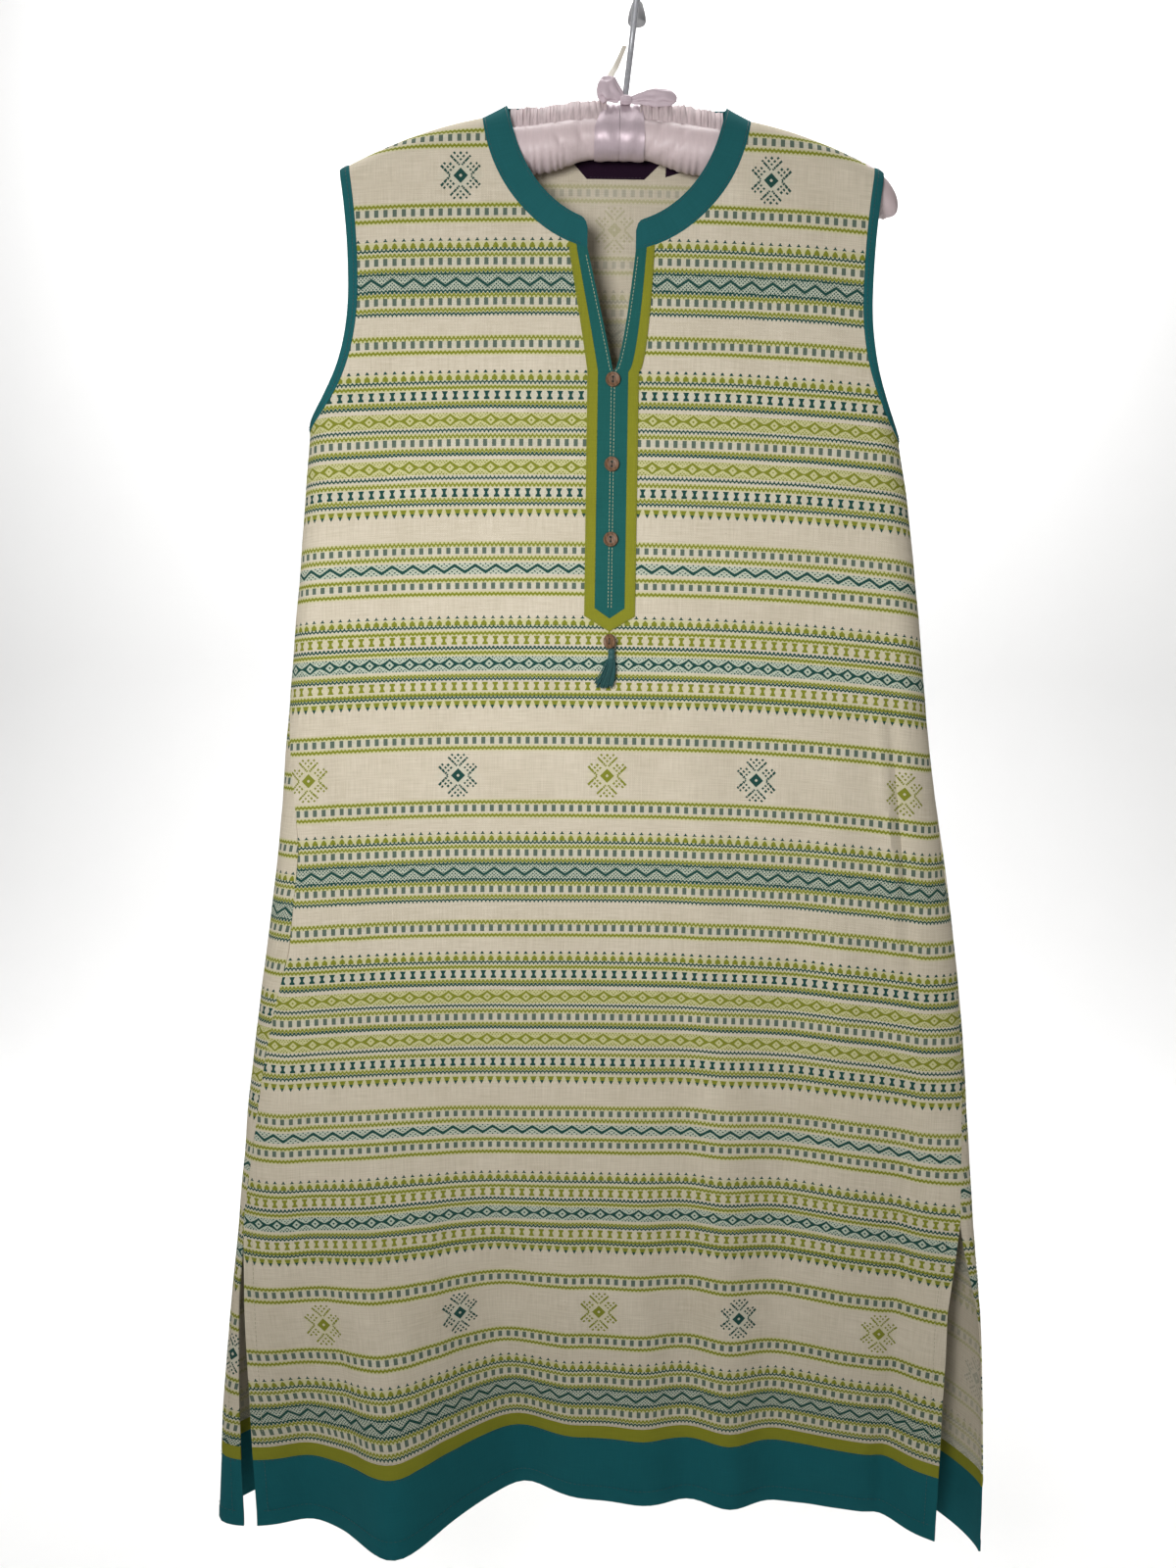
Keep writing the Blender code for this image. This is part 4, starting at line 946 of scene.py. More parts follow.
def finish_piece(made, looks, replaces=(), smooth_angle=math.radians(45)):
    """Materials, shading and frame facts of a piece."""
    for look in looks if isinstance(looks, (list, tuple)) else [looks]:
        made.data.materials.append(look)
    made.data.shade_smooth()
    made.data.set_sharp_from_angle(angle=smooth_angle)
    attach(made, "root")
    if replaces:
        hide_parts(*replaces)
    return made


def add_mesh(name, points, faces, cut=None, marks=None):
    """A mesh object. cut gives each point's place in the flat cut; marks gives each face's material."""
    mesh = bpy.data.meshes.new(name)
    mesh.from_pydata(np.asarray(points, float).tolist(), [], [list(map(int, f)) for f in faces])
    if marks is not None:
        mesh.polygons.foreach_set("material_index", np.asarray(marks, np.int32))
    if cut is None:
        cut = np.asarray(points, float)[:, [0, 2]]
    layer = mesh.uv_layers.new(name="cut")
    index = np.zeros(len(mesh.loops), np.int32)
    mesh.loops.foreach_get("vertex_index", index)
    layer.uv.foreach_set("vector", np.asarray(cut, np.float32)[index].ravel())
    made = bpy.data.objects.new(name, mesh)
    bpy.context.scene.collection.objects.link(made)
    return made


def face_outwards(made):
    """Turns the faces of a closed mesh outwards."""
    shape = bmesh.new()
    shape.from_mesh(made.data)
    bmesh.ops.recalc_face_normals(shape, faces=shape.faces)
    if shape.calc_volume(signed=True) < 0:
        bmesh.ops.reverse_faces(shape, faces=shape.faces)
    shape.to_mesh(made.data)
    shape.free()
    return made


def add_closed(name, outer, inner, quads, cut):
    """A closed thin body between two like sheets of points. Its inner sheet has the second material."""
    count = len(outer)
    quads = np.asarray(quads)
    edges = np.concatenate([quads[:, [k, (k + 1) % 4]] for k in range(4)])
    keys = edges[:, 0].astype(np.int64) * count + edges[:, 1]
    back_keys = edges[:, 1].astype(np.int64) * count + edges[:, 0]
    rim = edges[~np.isin(keys, back_keys)]
    rim_faces = np.stack([rim[:, 1], rim[:, 0], rim[:, 0] + count, rim[:, 1] + count], -1)
    faces = np.concatenate([quads, quads[:, ::-1] + count, rim_faces])
    marks = np.concatenate([np.zeros(len(quads)), np.ones(len(quads)), np.zeros(len(rim_faces))])
    made = add_mesh(name, np.concatenate([outer, inner]), faces, np.concatenate([cut, cut]), marks)
    return face_outwards(made)


def add_wall(name, flat, quads, face, thick=WALL, lift=0.0, bulge=0.0):
    """A closed wall of cloth on the surface, moved out by lift. bulge adds to its outer side."""
    places, out = cloth(flat, face)
    bulge = np.broadcast_to(bulge, len(flat))[:, None]
    outer = places + out * (lift + thick / 2) + out * bulge
    return add_closed(name, outer, places + out * (lift - thick / 2), quads, flat)


def add_grid_wall(name, places, out_hint, cut, thick):
    """A closed wall through rows of places, thickened both ways. out_hint points out at the first place."""
    along, over = np.gradient(places, axis=0), np.gradient(places, axis=1)
    out = unit(np.cross(along, over))
    if np.dot(out[0, 0], out_hint) < 0:
        out = -out
    _, quads = grid(np.zeros((*places.shape[:2], 2)))
    outer = (places + out * thick / 2).reshape(-1, 3)
    inner = (places - out * thick / 2).reshape(-1, 3)
    return add_closed(name, outer, inner, quads, cut.reshape(-1, 2)), out


def resampled(path, pitch):
    """Points evenly spaced along a line."""
    path = np.asarray(path, float)
    run = run_along(path)
    count = max(2, int(run[-1] / pitch))
    at = (np.arange(count) + 0.5) * run[-1] / count
    return np.stack([np.interp(at, run, column) for column in path.T], -1)


def smooth_line(path, count):
    """A finer, rounder line through some points, spaced evenly."""
    path = np.asarray(path, float)
    run = run_along(path)
    at = np.linspace(0, run[-1], count)
    return np.stack([smooth(run, column, at) for column in path.T], -1)


def many(parts):
    """Several sets of points and faces as one."""
    points, faces, start = [], [], 0
    for part_points, part_faces in parts:
        points += [tuple(p) for p in part_points]
        faces += [[i + start for i in f] for f in part_faces]
        start += len(part_points)
    return points, faces


def ring_faces(rings, sides):
    """Faces from ring to ring of points, with a cap at both ends."""
    faces = []
    for ring in range(rings - 1):
        for k in range(sides):
            a, b = ring * sides + k, ring * sides + (k + 1) % sides
            faces.append((a, b, b + sides, a + sides))
    last = (rings - 1) * sides
    return faces + [tuple(range(sides))[::-1], tuple(range(last, last + sides))]


# Share of the length, share of the width
STITCH_RINGS = ((-0.5, 0.30), (-0.36, 0.85), (0.0, 1.0), (0.36, 0.85), (0.5, 0.30))
STITCH_SIDES = 6


def stitches(places, outs, lift, length, width):
    """One stitch at each place: a short thread, arched out of the cloth."""
    ahead = unit(np.gradient(places, axis=0))
    side = unit(np.cross(outs, ahead))
    places = places + outs * lift
    points = []
    for along, size in STITCH_RINGS:
        arch = width * (0.5 - 1.2 * along * along)
        radius = width / 2 * size
        for k in range(STITCH_SIDES):
            turn = 2 * math.pi * k / STITCH_SIDES
            centre = places + ahead * (along * length)
            points.append(centre + side * (radius * math.cos(turn)) + outs * (radius * math.sin(turn) + arch))
    faces = ring_faces(len(STITCH_RINGS), STITCH_SIDES)
    return [(stitch, faces) for stitch in np.stack(points, 1)]


def sewn(name, lines, look, slot, pitch, length, width):
    """One joined mesh of stitches.

    Each line is a flat path, the face it lies on and its lift. A line with no face gives its places with
    their outward directions.
    """
    parts = []
    for path, face, lift in lines:
        at = resampled(path, pitch)
        places, outs = (at[:, :3], unit(at[:, 3:])) if face is None else cloth(at, face)
        parts += stitches(places, outs, lift, length, width)
    return finish_piece(add_mesh(name, *many(parts)), look)


def turned_mesh(name, profile, sides, place):
    """A solid turned about Z from rows of radius and height, closed at both ends."""
    points = []
    for radius, height in profile:
        for k in range(sides):
            turn = 2 * math.pi * k / sides
            points.append(place @ Vector((radius * math.cos(turn), radius * math.sin(turn), height)))
    return face_outwards(add_mesh(name, points, ring_faces(len(profile), sides)))


def tube(path, sizes, sides, first_out=(1.0, 0.0, 0.0), ripples=0.0, flutes=0):
    """Points and faces of a tube along a line. sizes gives each ring's two half widths, or one for all."""
    path = np.asarray(path, float)
    ahead = unit(np.gradient(path, axis=0))
    out = np.array(first_out, float)
    points = []
    for centre, along, (wide, deep) in zip(path, ahead, np.broadcast_to(sizes, (len(path), 2))):
        out = out - along * np.dot(out, along)
        out /= np.linalg.norm(out)
        across = np.cross(along, out)
        for n in range(sides):
            turn = 2 * math.pi * n / sides
            swell = 1 + ripples * math.sin(flutes * turn + 0.6)
            aside, outwards = wide * swell * math.cos(turn), deep * swell * math.sin(turn)
            points.append(centre + across * aside + out * outwards)
    return points, ring_faces(len(path), sides)


# Settings


def colour_property(name, description, default):
    options = {"size": 3, "subtype": "COLOR", "min": 0.0, "max": 1.0}
    return FloatVectorProperty(name=name, description=description, default=default, **options)


def number_property(name, description, default, **options):
    return FloatProperty(name=name, description=description, default=default, **options)


def length_property(name, description, default):
    return number_property(name, description, default, unit="LENGTH", min=0.0)


class KurtaCloth(bpy.types.PropertyGroup):
    """Cloths and woven yarns."""

    cream: colour_property("Cream", "Plain ground of the striped cloth", (0.640, 0.577, 0.468))
    cream_shade: colour_property("Cream shade", "Darker yarns in the ground", (0.440, 0.385, 0.285))
    yellow_ground: colour_property("Yellow ground", "Ground behind the lime yarn", (0.470, 0.470, 0.190))
    aqua_ground: colour_property("Aqua ground", "Ground behind the teal yarn", (0.370, 0.465, 0.375))
    lime_yarn: colour_property("Lime yarn", "Woven lime rows", (0.190, 0.205, 0.023))
    teal_yarn: colour_property("Teal yarn", "Woven teal rows", (0.014, 0.058, 0.048))
    block: colour_property("Block yarn", "Greyed teal of the small blocks", (0.050, 0.090, 0.068))
    teal: colour_property("Teal", "Neck band, bindings and placket", (0.0125, 0.0960, 0.1030))
    placket_teal: colour_property("Placket teal", "Teal strips of the placket", (0.0125, 0.0940, 0.0860))
    deep_teal: colour_property("Deep teal", "Hem bands", (0.0080, 0.1000, 0.1160))
    lime: colour_property("Lime", "Placket border and hem strips", (0.2080, 0.2110, 0.0190))
    thread: length_property("Thread pitch", "Distance between woven threads", 0.000525)


class KurtaTrim(bpy.types.PropertyGroup):
    """Buttons, tassel and sewing."""

    wood: colour_property("Wood", "Buttons", (0.205, 0.106, 0.054))
    pale_thread: colour_property("Pale thread", "Topstitching of the placket", (0.520, 0.510, 0.330))
    label: colour_property("Label", "Woven neck label", (0.0150, 0.0050, 0.0150))
    button_radius: length_property("Button radius", "Radius of the placket buttons", 0.0056)
    button_thick: length_property("Button thickness", "Thickness of the placket buttons", 0.0024)
    stitch: length_property("Stitch length", "Length of one topstitch", 0.0021)
    stitch_pitch: length_property("Stitch pitch", "Distance from stitch to stitch", 0.0029)
    stitch_width: length_property("Thread width", "Width of the sewing thread", 0.00042)
    strands: IntProperty(name="Tassel strands", description="Strands of the tassel", default=84, min=12)
    tassel_length: length_property("Tassel length", "Length of the tassel's skirt", 0.0235)


class PaddedHanger(bpy.types.PropertyGroup):
    """The hanger that holds the kurta."""

    satin: colour_property("Satin", "Cover of the padded arm", (0.620, 0.505, 0.512))
    ribbon: colour_property("Ribbon", "Ribbon turns and bow", (0.550, 0.446, 0.490))
    metal: colour_property("Wire", "Hook wire", (0.470, 0.480, 0.510))
    cap: colour_property("Cap", "Cap on the hook's tip", (0.300, 0.300, 0.310))
    gather: length_property("Gather depth", "Depth of the gathers in the satin", 0.0011)
    frill_height: length_property("Frill height", "Height of the gathered edge on top", 0.0128)


class KurtaStudio(bpy.types.PropertyGroup):
    """Camera, lights and floor."""

    floor: length_property("Floor drop", "Depth of the floor below the hook", 1.42)
    key: number_property("Key", "Power of the soft key light", 3.95, unit="POWER")
    spread: number_property("Spread", "Spread of the key light", math.radians(110), subtype="ANGLE")
    backdrop: number_property("Backdrop", "Power of the light on the backdrop", 100.0, unit="POWER")
    fill: number_property("Fill", "Strength of the light from all round", 0.22)
    lens: number_property("Lens", "Focal length in millimetres", 27.0)
    pitch: number_property("Pitch", "How far the camera looks down", math.radians(5.5), subtype="ANGLE")
    roll: number_property("Roll", "Roll of the camera", math.radians(0.78), subtype="ANGLE")


# Body of the kurta


class KURTA_OT_panels(bpy.types.Operator):
    """Front and back panels of striped cloth"""

    bl_idname = "kurta.panels"
    bl_label = "Panels"

    def execute(self, context):
        settings = context.scene.kurta_cloth
        for face, name in FACES.items():
            inner, shift = (front_inner, 0.0) if face == FRONT else (back_inner, BACK_SHIFT)
            halves = []
            for side in SIDES:
                outer = armhole_line(face, side, BINDING + SEAM)
                halves.append(grid(half_panel(inner(side), outer, face, side, LIME_TOP - SEAM)))
            flat, quads = joined(halves)
            made = add_wall(f"{name}_cloth", flat, quads, face)
            right_side = woven_cloth(f"{name}_woven_stripes", settings, shift, 1.0)
            wrong_side = woven_cloth(f"{name}_wrong_side", settings, shift, 0.30)
            finish_piece(made, [right_side, wrong_side], [f"{name}_panel"])
        return {"FINISHED"}


# The lime strip rolls a little; the hem is folded up once more along its edge
LIME_ROLL = 0.0004
HEM_FOLD = 0.012
HEM_FOLD_THICK = 0.0005


class KURTA_OT_hems(bpy.types.Operator):
    """Lime strips and deep teal bands at the hem"""

    bl_idname = "kurta.hems"
    bl_label = "Hems"

    def execute(self, context):
        settings = context.scene.kurta_cloth
        lime = plain_cloth("lime_cotton", settings.lime)
        teal = plain_cloth("deep_teal_cotton", settings.deep_teal)
        for face, name in FACES.items():
            flat, quads = grid(across_rows(np.linspace(LIME_TOP, BAND_TOP, 6), face))
            down = np.clip((flat[:, 1] - LIME_TOP) / (BAND_TOP - LIME_TOP), 0, 1)
            made = add_wall(f"{name}_lime_edge", flat, quads, face, bulge=LIME_ROLL * np.sin(down * math.pi))
            finish_piece(made, [lime, lime], [f"{name}_lime_strip"])
            flat, quads = grid(across_rows(np.linspace(BAND_TOP, HEM, 20), face))
            turn = HEM_FOLD_THICK * np.clip((flat[:, 1] - HEM + HEM_FOLD) / 0.002, 0, 1)
            made = add_wall(f"{name}_hem_border", flat, quads, face, bulge=turn)
            finish_piece(made, [teal, teal], [f"{name}_hem_band"])
        return {"FINISHED"}


NECK_BAND_IN = NECK_SIDE - NECK_BAND
NECK_BAND_OUT = NECK_SIDE - SEAM
BACK_BAND_REACH = BACK_NECK - SEAM - float(shoulder_cut(0.0))
FRONT_BAND_STEPS = 34
BACK_BAND_STEPS = 26
BAND_COLUMNS = 12
# Rise of the standing band, beside the neck and behind it
BAND_RISE_SIDE = (0.0176, 0.0, 0.0105)
BAND_RISE_BACK = (0.0, -0.0020, 0.0203)


def neck_band_stations():
    """Side, face, outer and inner travel of each station, from the slit's left side round to its right."""
    last = ARM_TRAVELS[-1]
    runs = [1 - (1 - k / FRONT_BAND_STEPS) ** 1.5 for k in range(1, FRONT_BAND_STEPS + 1)]
    front = {}
    for side in SIDES:
        end_out = neck_travel(VEE_HALF[side], NECK_BAND_OUT, FRONT_NECK - SEAM)
        end_in = neck_travel(VEE_HALF[side], NECK_BAND_IN, FRONT_NECK - NECK_BAND)
        travels = [(last + (end_out - last) * f, last + (end_in - last) * f) for f in reversed(runs)]
        travels += [(a, a) for a in reversed([0.0] + ARM_TRAVELS[1:])]
        front[side] = [(side, FRONT, *both) for both in travels]
    turns = [math.pi / 2 * k / BACK_BAND_STEPS for k in range(1, BACK_BAND_STEPS + 1)]
    back = [(-1, BACK, BACK_BAND_REACH * math.sin(turn), 0.0) for turn in turns]
    back += [(1, *station[1:]) for station in back[-2::-1]]
    return front[-1] + back + front[1][::-1]


def surface_point(u, v, face):
    return surface(np.array([u]), np.array([v]), np.array([face]))[0]


def neck_band_rows():
    """Places of the neck band, station by station."""
    rows = []
    for side, face, travel_out, travel_in in neck_band_stations():
        depth = (FRONT_NECK if face == FRONT else BACK_NECK) - SEAM
        at = neck_point(travel_out, NECK_BAND_OUT, depth, side)
        foot = surface_point(*at, face)
        side_rise = np.array(BAND_RISE_SIDE) * (-side, 1, 1)
        tall = 1.0
        if face == FRONT:
            top = neck_point(travel_in, NECK_BAND_IN, FRONT_NECK - NECK_BAND, side)
            lying = surface_point(*top, FRONT) - foot
            flat = min(1.0, travel_out / ARM_TRAVELS[-1])
            rise = side_rise * (1 - flat) + lying * flat
            from_slit = max(0.0, abs(at[0]) - VEE_HALF[side])
            if from_slit < NECK_CORNER:
                cut_off = NECK_CORNER - math.sqrt(NECK_CORNER**2 - (NECK_CORNER - from_slit) ** 2)
                tall = 1 - 0.8 * cut_off / NECK_BAND
        else:
            centre = math.sin(math.pi / 2 * travel_out / BACK_BAND_REACH) ** 2.2
            rise = side_rise * (1 - centre) + np.array(BAND_RISE_BACK) * centre
            rise = rise * (NECK_BAND / np.linalg.norm(rise))
        rows.append([foot + rise * (f * tall) for f in np.linspace(0, 1, BAND_COLUMNS)])
    return np.array(rows)


class KURTA_OT_neck_band(bpy.types.Operator):
    """Teal band round the neck, lying flat in front and standing behind"""

    bl_idname = "kurta.neck_band"
    bl_label = "Neck band"

    def execute(self, context):
        teal = plain_cloth("teal_cotton", context.scene.kurta_cloth.teal)
        rows = neck_band_rows()
        across = np.linspace(0, NECK_BAND, BAND_COLUMNS)
        cut = np.stack(np.broadcast_arrays(run_along(rows[:, 0])[:, None], across[None]), -1)
        made, out = add_grid_wall("neck_border", rows, (0.0, -1.0, 0.0), cut, NECK_BAND_THICK)
        finish_piece(made, [teal, teal], ["neck_band"])
        trim = context.scene.kurta_trim
        thread = sewing_thread("teal_thread", (0.008, 0.050, 0.055))
        lines = []
        for k in (1, BAND_COLUMNS - 2):
            outs = out[2:-2, k]
            lines.append((np.concatenate([rows[2:-2, k] + outs * (NECK_BAND_THICK / 2), outs], 1), None, 0.0))
        size = trim.stitch_pitch, trim.stitch, trim.stitch_width * 0.8
        sewn("neck_border_stitches", lines, thread, "teal_cotton", *size)
        return {"FINISHED"}


class KURTA_OT_armhole_bindings(bpy.types.Operator):
    """Teal binding round each armhole"""

    bl_idname = "kurta.armhole_bindings"
    bl_label = "Armhole bindings"

    def execute(self, context):
        teal = plain_cloth("binding_cotton", context.scene.kurta_cloth.teal)
        trim = context.scene.kurta_trim
        parts = np.array((0.0, 0.12, 0.3, 0.5, 0.7, 0.88, 1.0))
        count = len(parts)
        lines = []
        for side, name in SIDES.items():
            paths = []
            for part in parts:
                front, back = (armhole_line(face, side, BINDING * part) for face in FACES)
                paths.append(front[::-1] + back[1:])
            faces = np.repeat([FRONT] * len(front) + [BACK] * (len(back) - 1), count)
            flat, quads = grid(np.stack(paths, 1))
            across = np.tile(np.linspace(0, 1, count), len(paths[0]))
            places, out = cloth(flat, faces)
            outer = places + out * (BINDING_THICK / 2 + BINDING_ROLL * np.sin(across * math.pi))[:, None]
            inner = places - out * (BINDING_THICK / 2)
            cut = np.stack([np.repeat(run_along(places[::count]), count), across * BINDING], -1)
            made = add_closed(f"armhole_edge_{name}", outer, inner, quads, cut)
            finish_piece(made, [teal, teal], [f"armhole_binding_{name}"])
            for face in FACES:
                line = armhole_line(face, side, BINDING * 0.62)
                lines.append((line[1:], face, BINDING_THICK / 2 + BINDING_ROLL))
        thread = sewing_thread("binding_thread", (0.008, 0.045, 0.050))
        size = trim.stitch_pitch, trim.stitch, trim.stitch_width
        sewn("armhole_stitches", lines, thread, "teal_cotton", *size)
        return {"FINISHED"}


PLACKET_STEPS = 36
PLACKET_STITCH = (0.0027, 0.0019)


def placket_widths(v):
    """Width of the teal strip and of the lime border beside it."""
    part = np.clip((v - FRONT_NECK) / (VEE_BOTTOM - FRONT_NECK), 0.0, 1.0)
    return TEAL_TOP + (TEAL_WIDE - TEAL_TOP) * part, LIME_TOP_WIDTH + (LIME_WIDE - LIME_TOP_WIDTH) * part


def placket_levels(side):
    top = vee_top(side)
    steps = range(1, PLACKET_STEPS + 1)
    open_part = [top] + [top + (VEE_BOTTOM - top) * k / PLACKET_STEPS for k in steps]
    return open_part + [VEE_BOTTOM + (TEAL_CORNER - VEE_BOTTOM) * k / PLACKET_STEPS for k in steps]


def under_band(u, v):
    """A placket point, kept below the neck band's seam."""
    travel = neck_travel(min(abs(u), NECK_SIDE), NECK_SIDE, FRONT_NECK)
    return u, max(v, travel + float(shoulder_cut(u)) + SEAM)


def strip_of(inner, outer, count):
    """A flat strip between two lines of points, several points across."""
    inner, outer = np.array(inner), np.array(outer)
    parts = np.linspace(0, 1, count)
    return grid(np.stack([inner + (outer - inner) * f for f in parts], 1))


TRIM_LIFT = WALL / 2 + SEAM + TRIM / 2


class KURTA_OT_placket(bpy.types.Operator):
    """Teal placket with its lime border, sewn down the front"""

    bl_idname = "kurta.placket"
    bl_label = "Placket"

    def execute(self, context):
        settings, trim = context.scene.kurta_cloth, context.scene.kurta_trim
        teal = plain_cloth("placket_cotton", settings.placket_teal)
        lime = plain_cloth("placket_lime_cotton", settings.lime)
        border_in, border_out, sewing = {}, {}, []
        for side, name in SIDES.items():
            inner, outer, border, stitch = [], [], [], []
            levels = placket_levels(side)
            for v in levels:
                teal_width, lime_width = placket_widths(v)
                edge = float(vee_edge(v, side))
                seam_at = v if v > levels[0] else 0.0
                inner.append(under_band(edge + side * SEAM / 2, seam_at))
                outer.append(under_band(edge + side * teal_width, seam_at))
                border.append(under_band(edge + side * (teal_width + lime_width), seam_at))
                stitch.append((edge + side * 0.0012 + side * 0.0010 * (v < VEE_BOTTOM), v))
            inner[-1] = (side * SEAM / 2, TEAL_POINT)
            made = add_wall(f"placket_strip_{name}", *strip_of(inner, outer, 7), FRONT, TRIM, TRIM_LIFT)
            finish_piece(made, [teal, teal], [f"placket_{name}"])
            border_in[side] = [(u + side * SEAM, v) for u, v in outer]
            border_out[side] = border[:-1] + [(border[-1][0], LIME_CORNER)]
            sewing.append((stitch[2:], FRONT, TRIM_LIFT + TRIM / 2))
        inside = border_in[-1] + [(0.0, TEAL_POINT + SEAM)] + border_in[1][::-1]
        outside = border_out[-1] + [(0.0, LIME_POINT)] + border_out[1][::-1]
        made = add_wall("placket_lime_edge", *strip_of(inside, outside, 6), FRONT, TRIM, TRIM_LIFT)
        finish_piece(made, [lime, lime], ["placket_border"])
        pale = sewing_thread("pale_thread", trim.pale_thread)
        sewn("placket_stitches", sewing, pale, "lime_cotton", *PLACKET_STITCH, 0.00048)
        lime_thread = sewing_thread("lime_thread", (0.16, 0.17, 0.02))
        inset = 0.0010
        edge = [(u - math.copysign(inset, u), v) if u else (0.0, v - inset) for u, v in outside]
        edge = [(edge, FRONT, TRIM_LIFT + TRIM / 2)]
        sewn("placket_edge_stitches", edge, lime_thread, "lime_cotton", *PLACKET_STITCH, 0.0003)
        return {"FINISHED"}


def facing(u, v, lift, turn=0.0):
    """Placement with +Z out of the front cloth and +Y up, turned about the upright."""
    places, out = cloth(np.array([[u, v]]), FRONT)
    out = Vector(out[0])
    spun = Matrix.Rotation(turn, 3, "Z") @ out
    across = Vector((0, 0, 1)).cross(spun).normalized()
    up = spun.cross(across)
    place = Matrix((across, up, spun)).transposed().to_4x4()
    place.translation = Vector(places[0]) + out * lift
    return place


# Share of the radius, share of the thickness
BUTTON_PROFILE = (
    (0.74, 0.02), (0.88, 0.06), (0.97, 0.20), (1.00, 0.45), (0.99, 0.72), (0.94, 0.92), (0.87, 1.00),
    (0.79, 0.97), (0.72, 0.86), (0.64, 0.74), (0.50, 0.70), (0.25, 0.69),
)


HOLE_AT = 0.30
HOLE_RADIUS = 0.00088
THREAD_RADIUS = 0.00020
THREAD_ASIDE = 0.00018
BUTTON_SIDES = 48


def pierce(made, drills):
    """Cuts the drills out of a mesh."""
    for drill in drills:
        cut = made.modifiers.new("hole", "BOOLEAN")
        cut.operation = "DIFFERENCE"
        cut.solver = "EXACT"
        cut.object = drill
    bpy.context.view_layer.update()
    pierced = bpy.data.meshes.new_from_object(made.evaluated_get(bpy.context.evaluated_depsgraph_get()))
    made.modifiers.clear()
    made.data = pierced
    for drill in drills:
        bpy.data.objects.remove(drill)


def button(name, place, trim, look, thread):
    """A two-hole button with a raised rim, and the thread that holds it."""
    profile = [(r * trim.button_radius, h * trim.button_thick) for r, h in BUTTON_PROFILE]
    made = turned_mesh(name, profile, BUTTON_SIDES, place)
    reach = trim.button_radius * HOLE_AT
    hole = [(HOLE_RADIUS, -0.001), (HOLE_RADIUS, trim.button_thick + 0.001)]
    spots = [place @ Matrix.Translation((0, y, 0)) for y in (-reach, reach)]
    pierce(made, [turned_mesh(f"{name}_drill", hole, 16, spot) for spot in spots])
    finish_piece(made, look, [name.replace("wooden_", "")], math.radians(35))
    low, high = trim.button_thick * 0.30 - 0.001, trim.button_thick * 0.62
    parts = []
    for x in (-THREAD_ASIDE, THREAD_ASIDE):
        bend = ((-reach, low), (-reach * 0.9, high), (0, high + 0.0004), (reach * 0.9, high), (reach, low))
        line = [place @ Vector(p) for p in smooth_line([(x, y, z) for y, z in bend], 14)]
        parts.append(tube(line, THREAD_RADIUS, 6))
    finish_piece(add_mesh(f"{name}_thread", *many(parts)), thread)


class KURTA_OT_buttons(bpy.types.Operator):
    """Wooden buttons down the placket and the one that carries the tassel"""

    bl_idname = "kurta.buttons"
    bl_label = "Buttons"

    def execute(self, context):
        trim = context.scene.kurta_trim
        wood = turned_wood("button_wood", trim.wood)
        thread = sewing_thread("button_thread", (0.020, 0.018, 0.014))
        base = TRIM_LIFT + TRIM / 2 + 0.0002
        for k, v in enumerate(BUTTONS_AT):
            button(f"wooden_button_{k + 1}", facing(0.0, v, base), trim, wood, thread)
        turn = TASSEL_BUTTON_TURN
        rim = trim.button_radius * math.sin(turn) - 0.25 * trim.button_thick * math.cos(turn)
        place = facing(0.001, TASSEL_BUTTON_AT, 0.0009 + rim, -turn)
        button("wooden_tassel_button", place, trim, wood, thread)
        return {"FINISHED"}


# Tassel, measured from its neck
SPIRAL_TURN = 2.399963
STRAND_RADIUS = 0.00040
SKIRT_RADIUS = 0.0021
SKIRT_LEAN = 0.0052
SKIRT_TOP = 0.0030
HEAD_PROFILE = (
    (0.0009, 0.0040), (0.0021, 0.0036), (0.0029, 0.0024), (0.0030, 0.0012), (0.0024, 0.0002),
    (0.0025, -0.0004), (0.0028, -0.0016), (0.0029, -0.0030), (0.0026, -0.0040),
)
WRAP_RADIUS = 0.00262
HANGING_LOOP = (
    (0.0006, 0.0, 0.0036), (0.0012, -0.0010, 0.0062), (0.0002, -0.0012, 0.0082),
    (-0.0010, -0.0006, 0.0062), (-0.0005, 0.0, 0.0036),
)


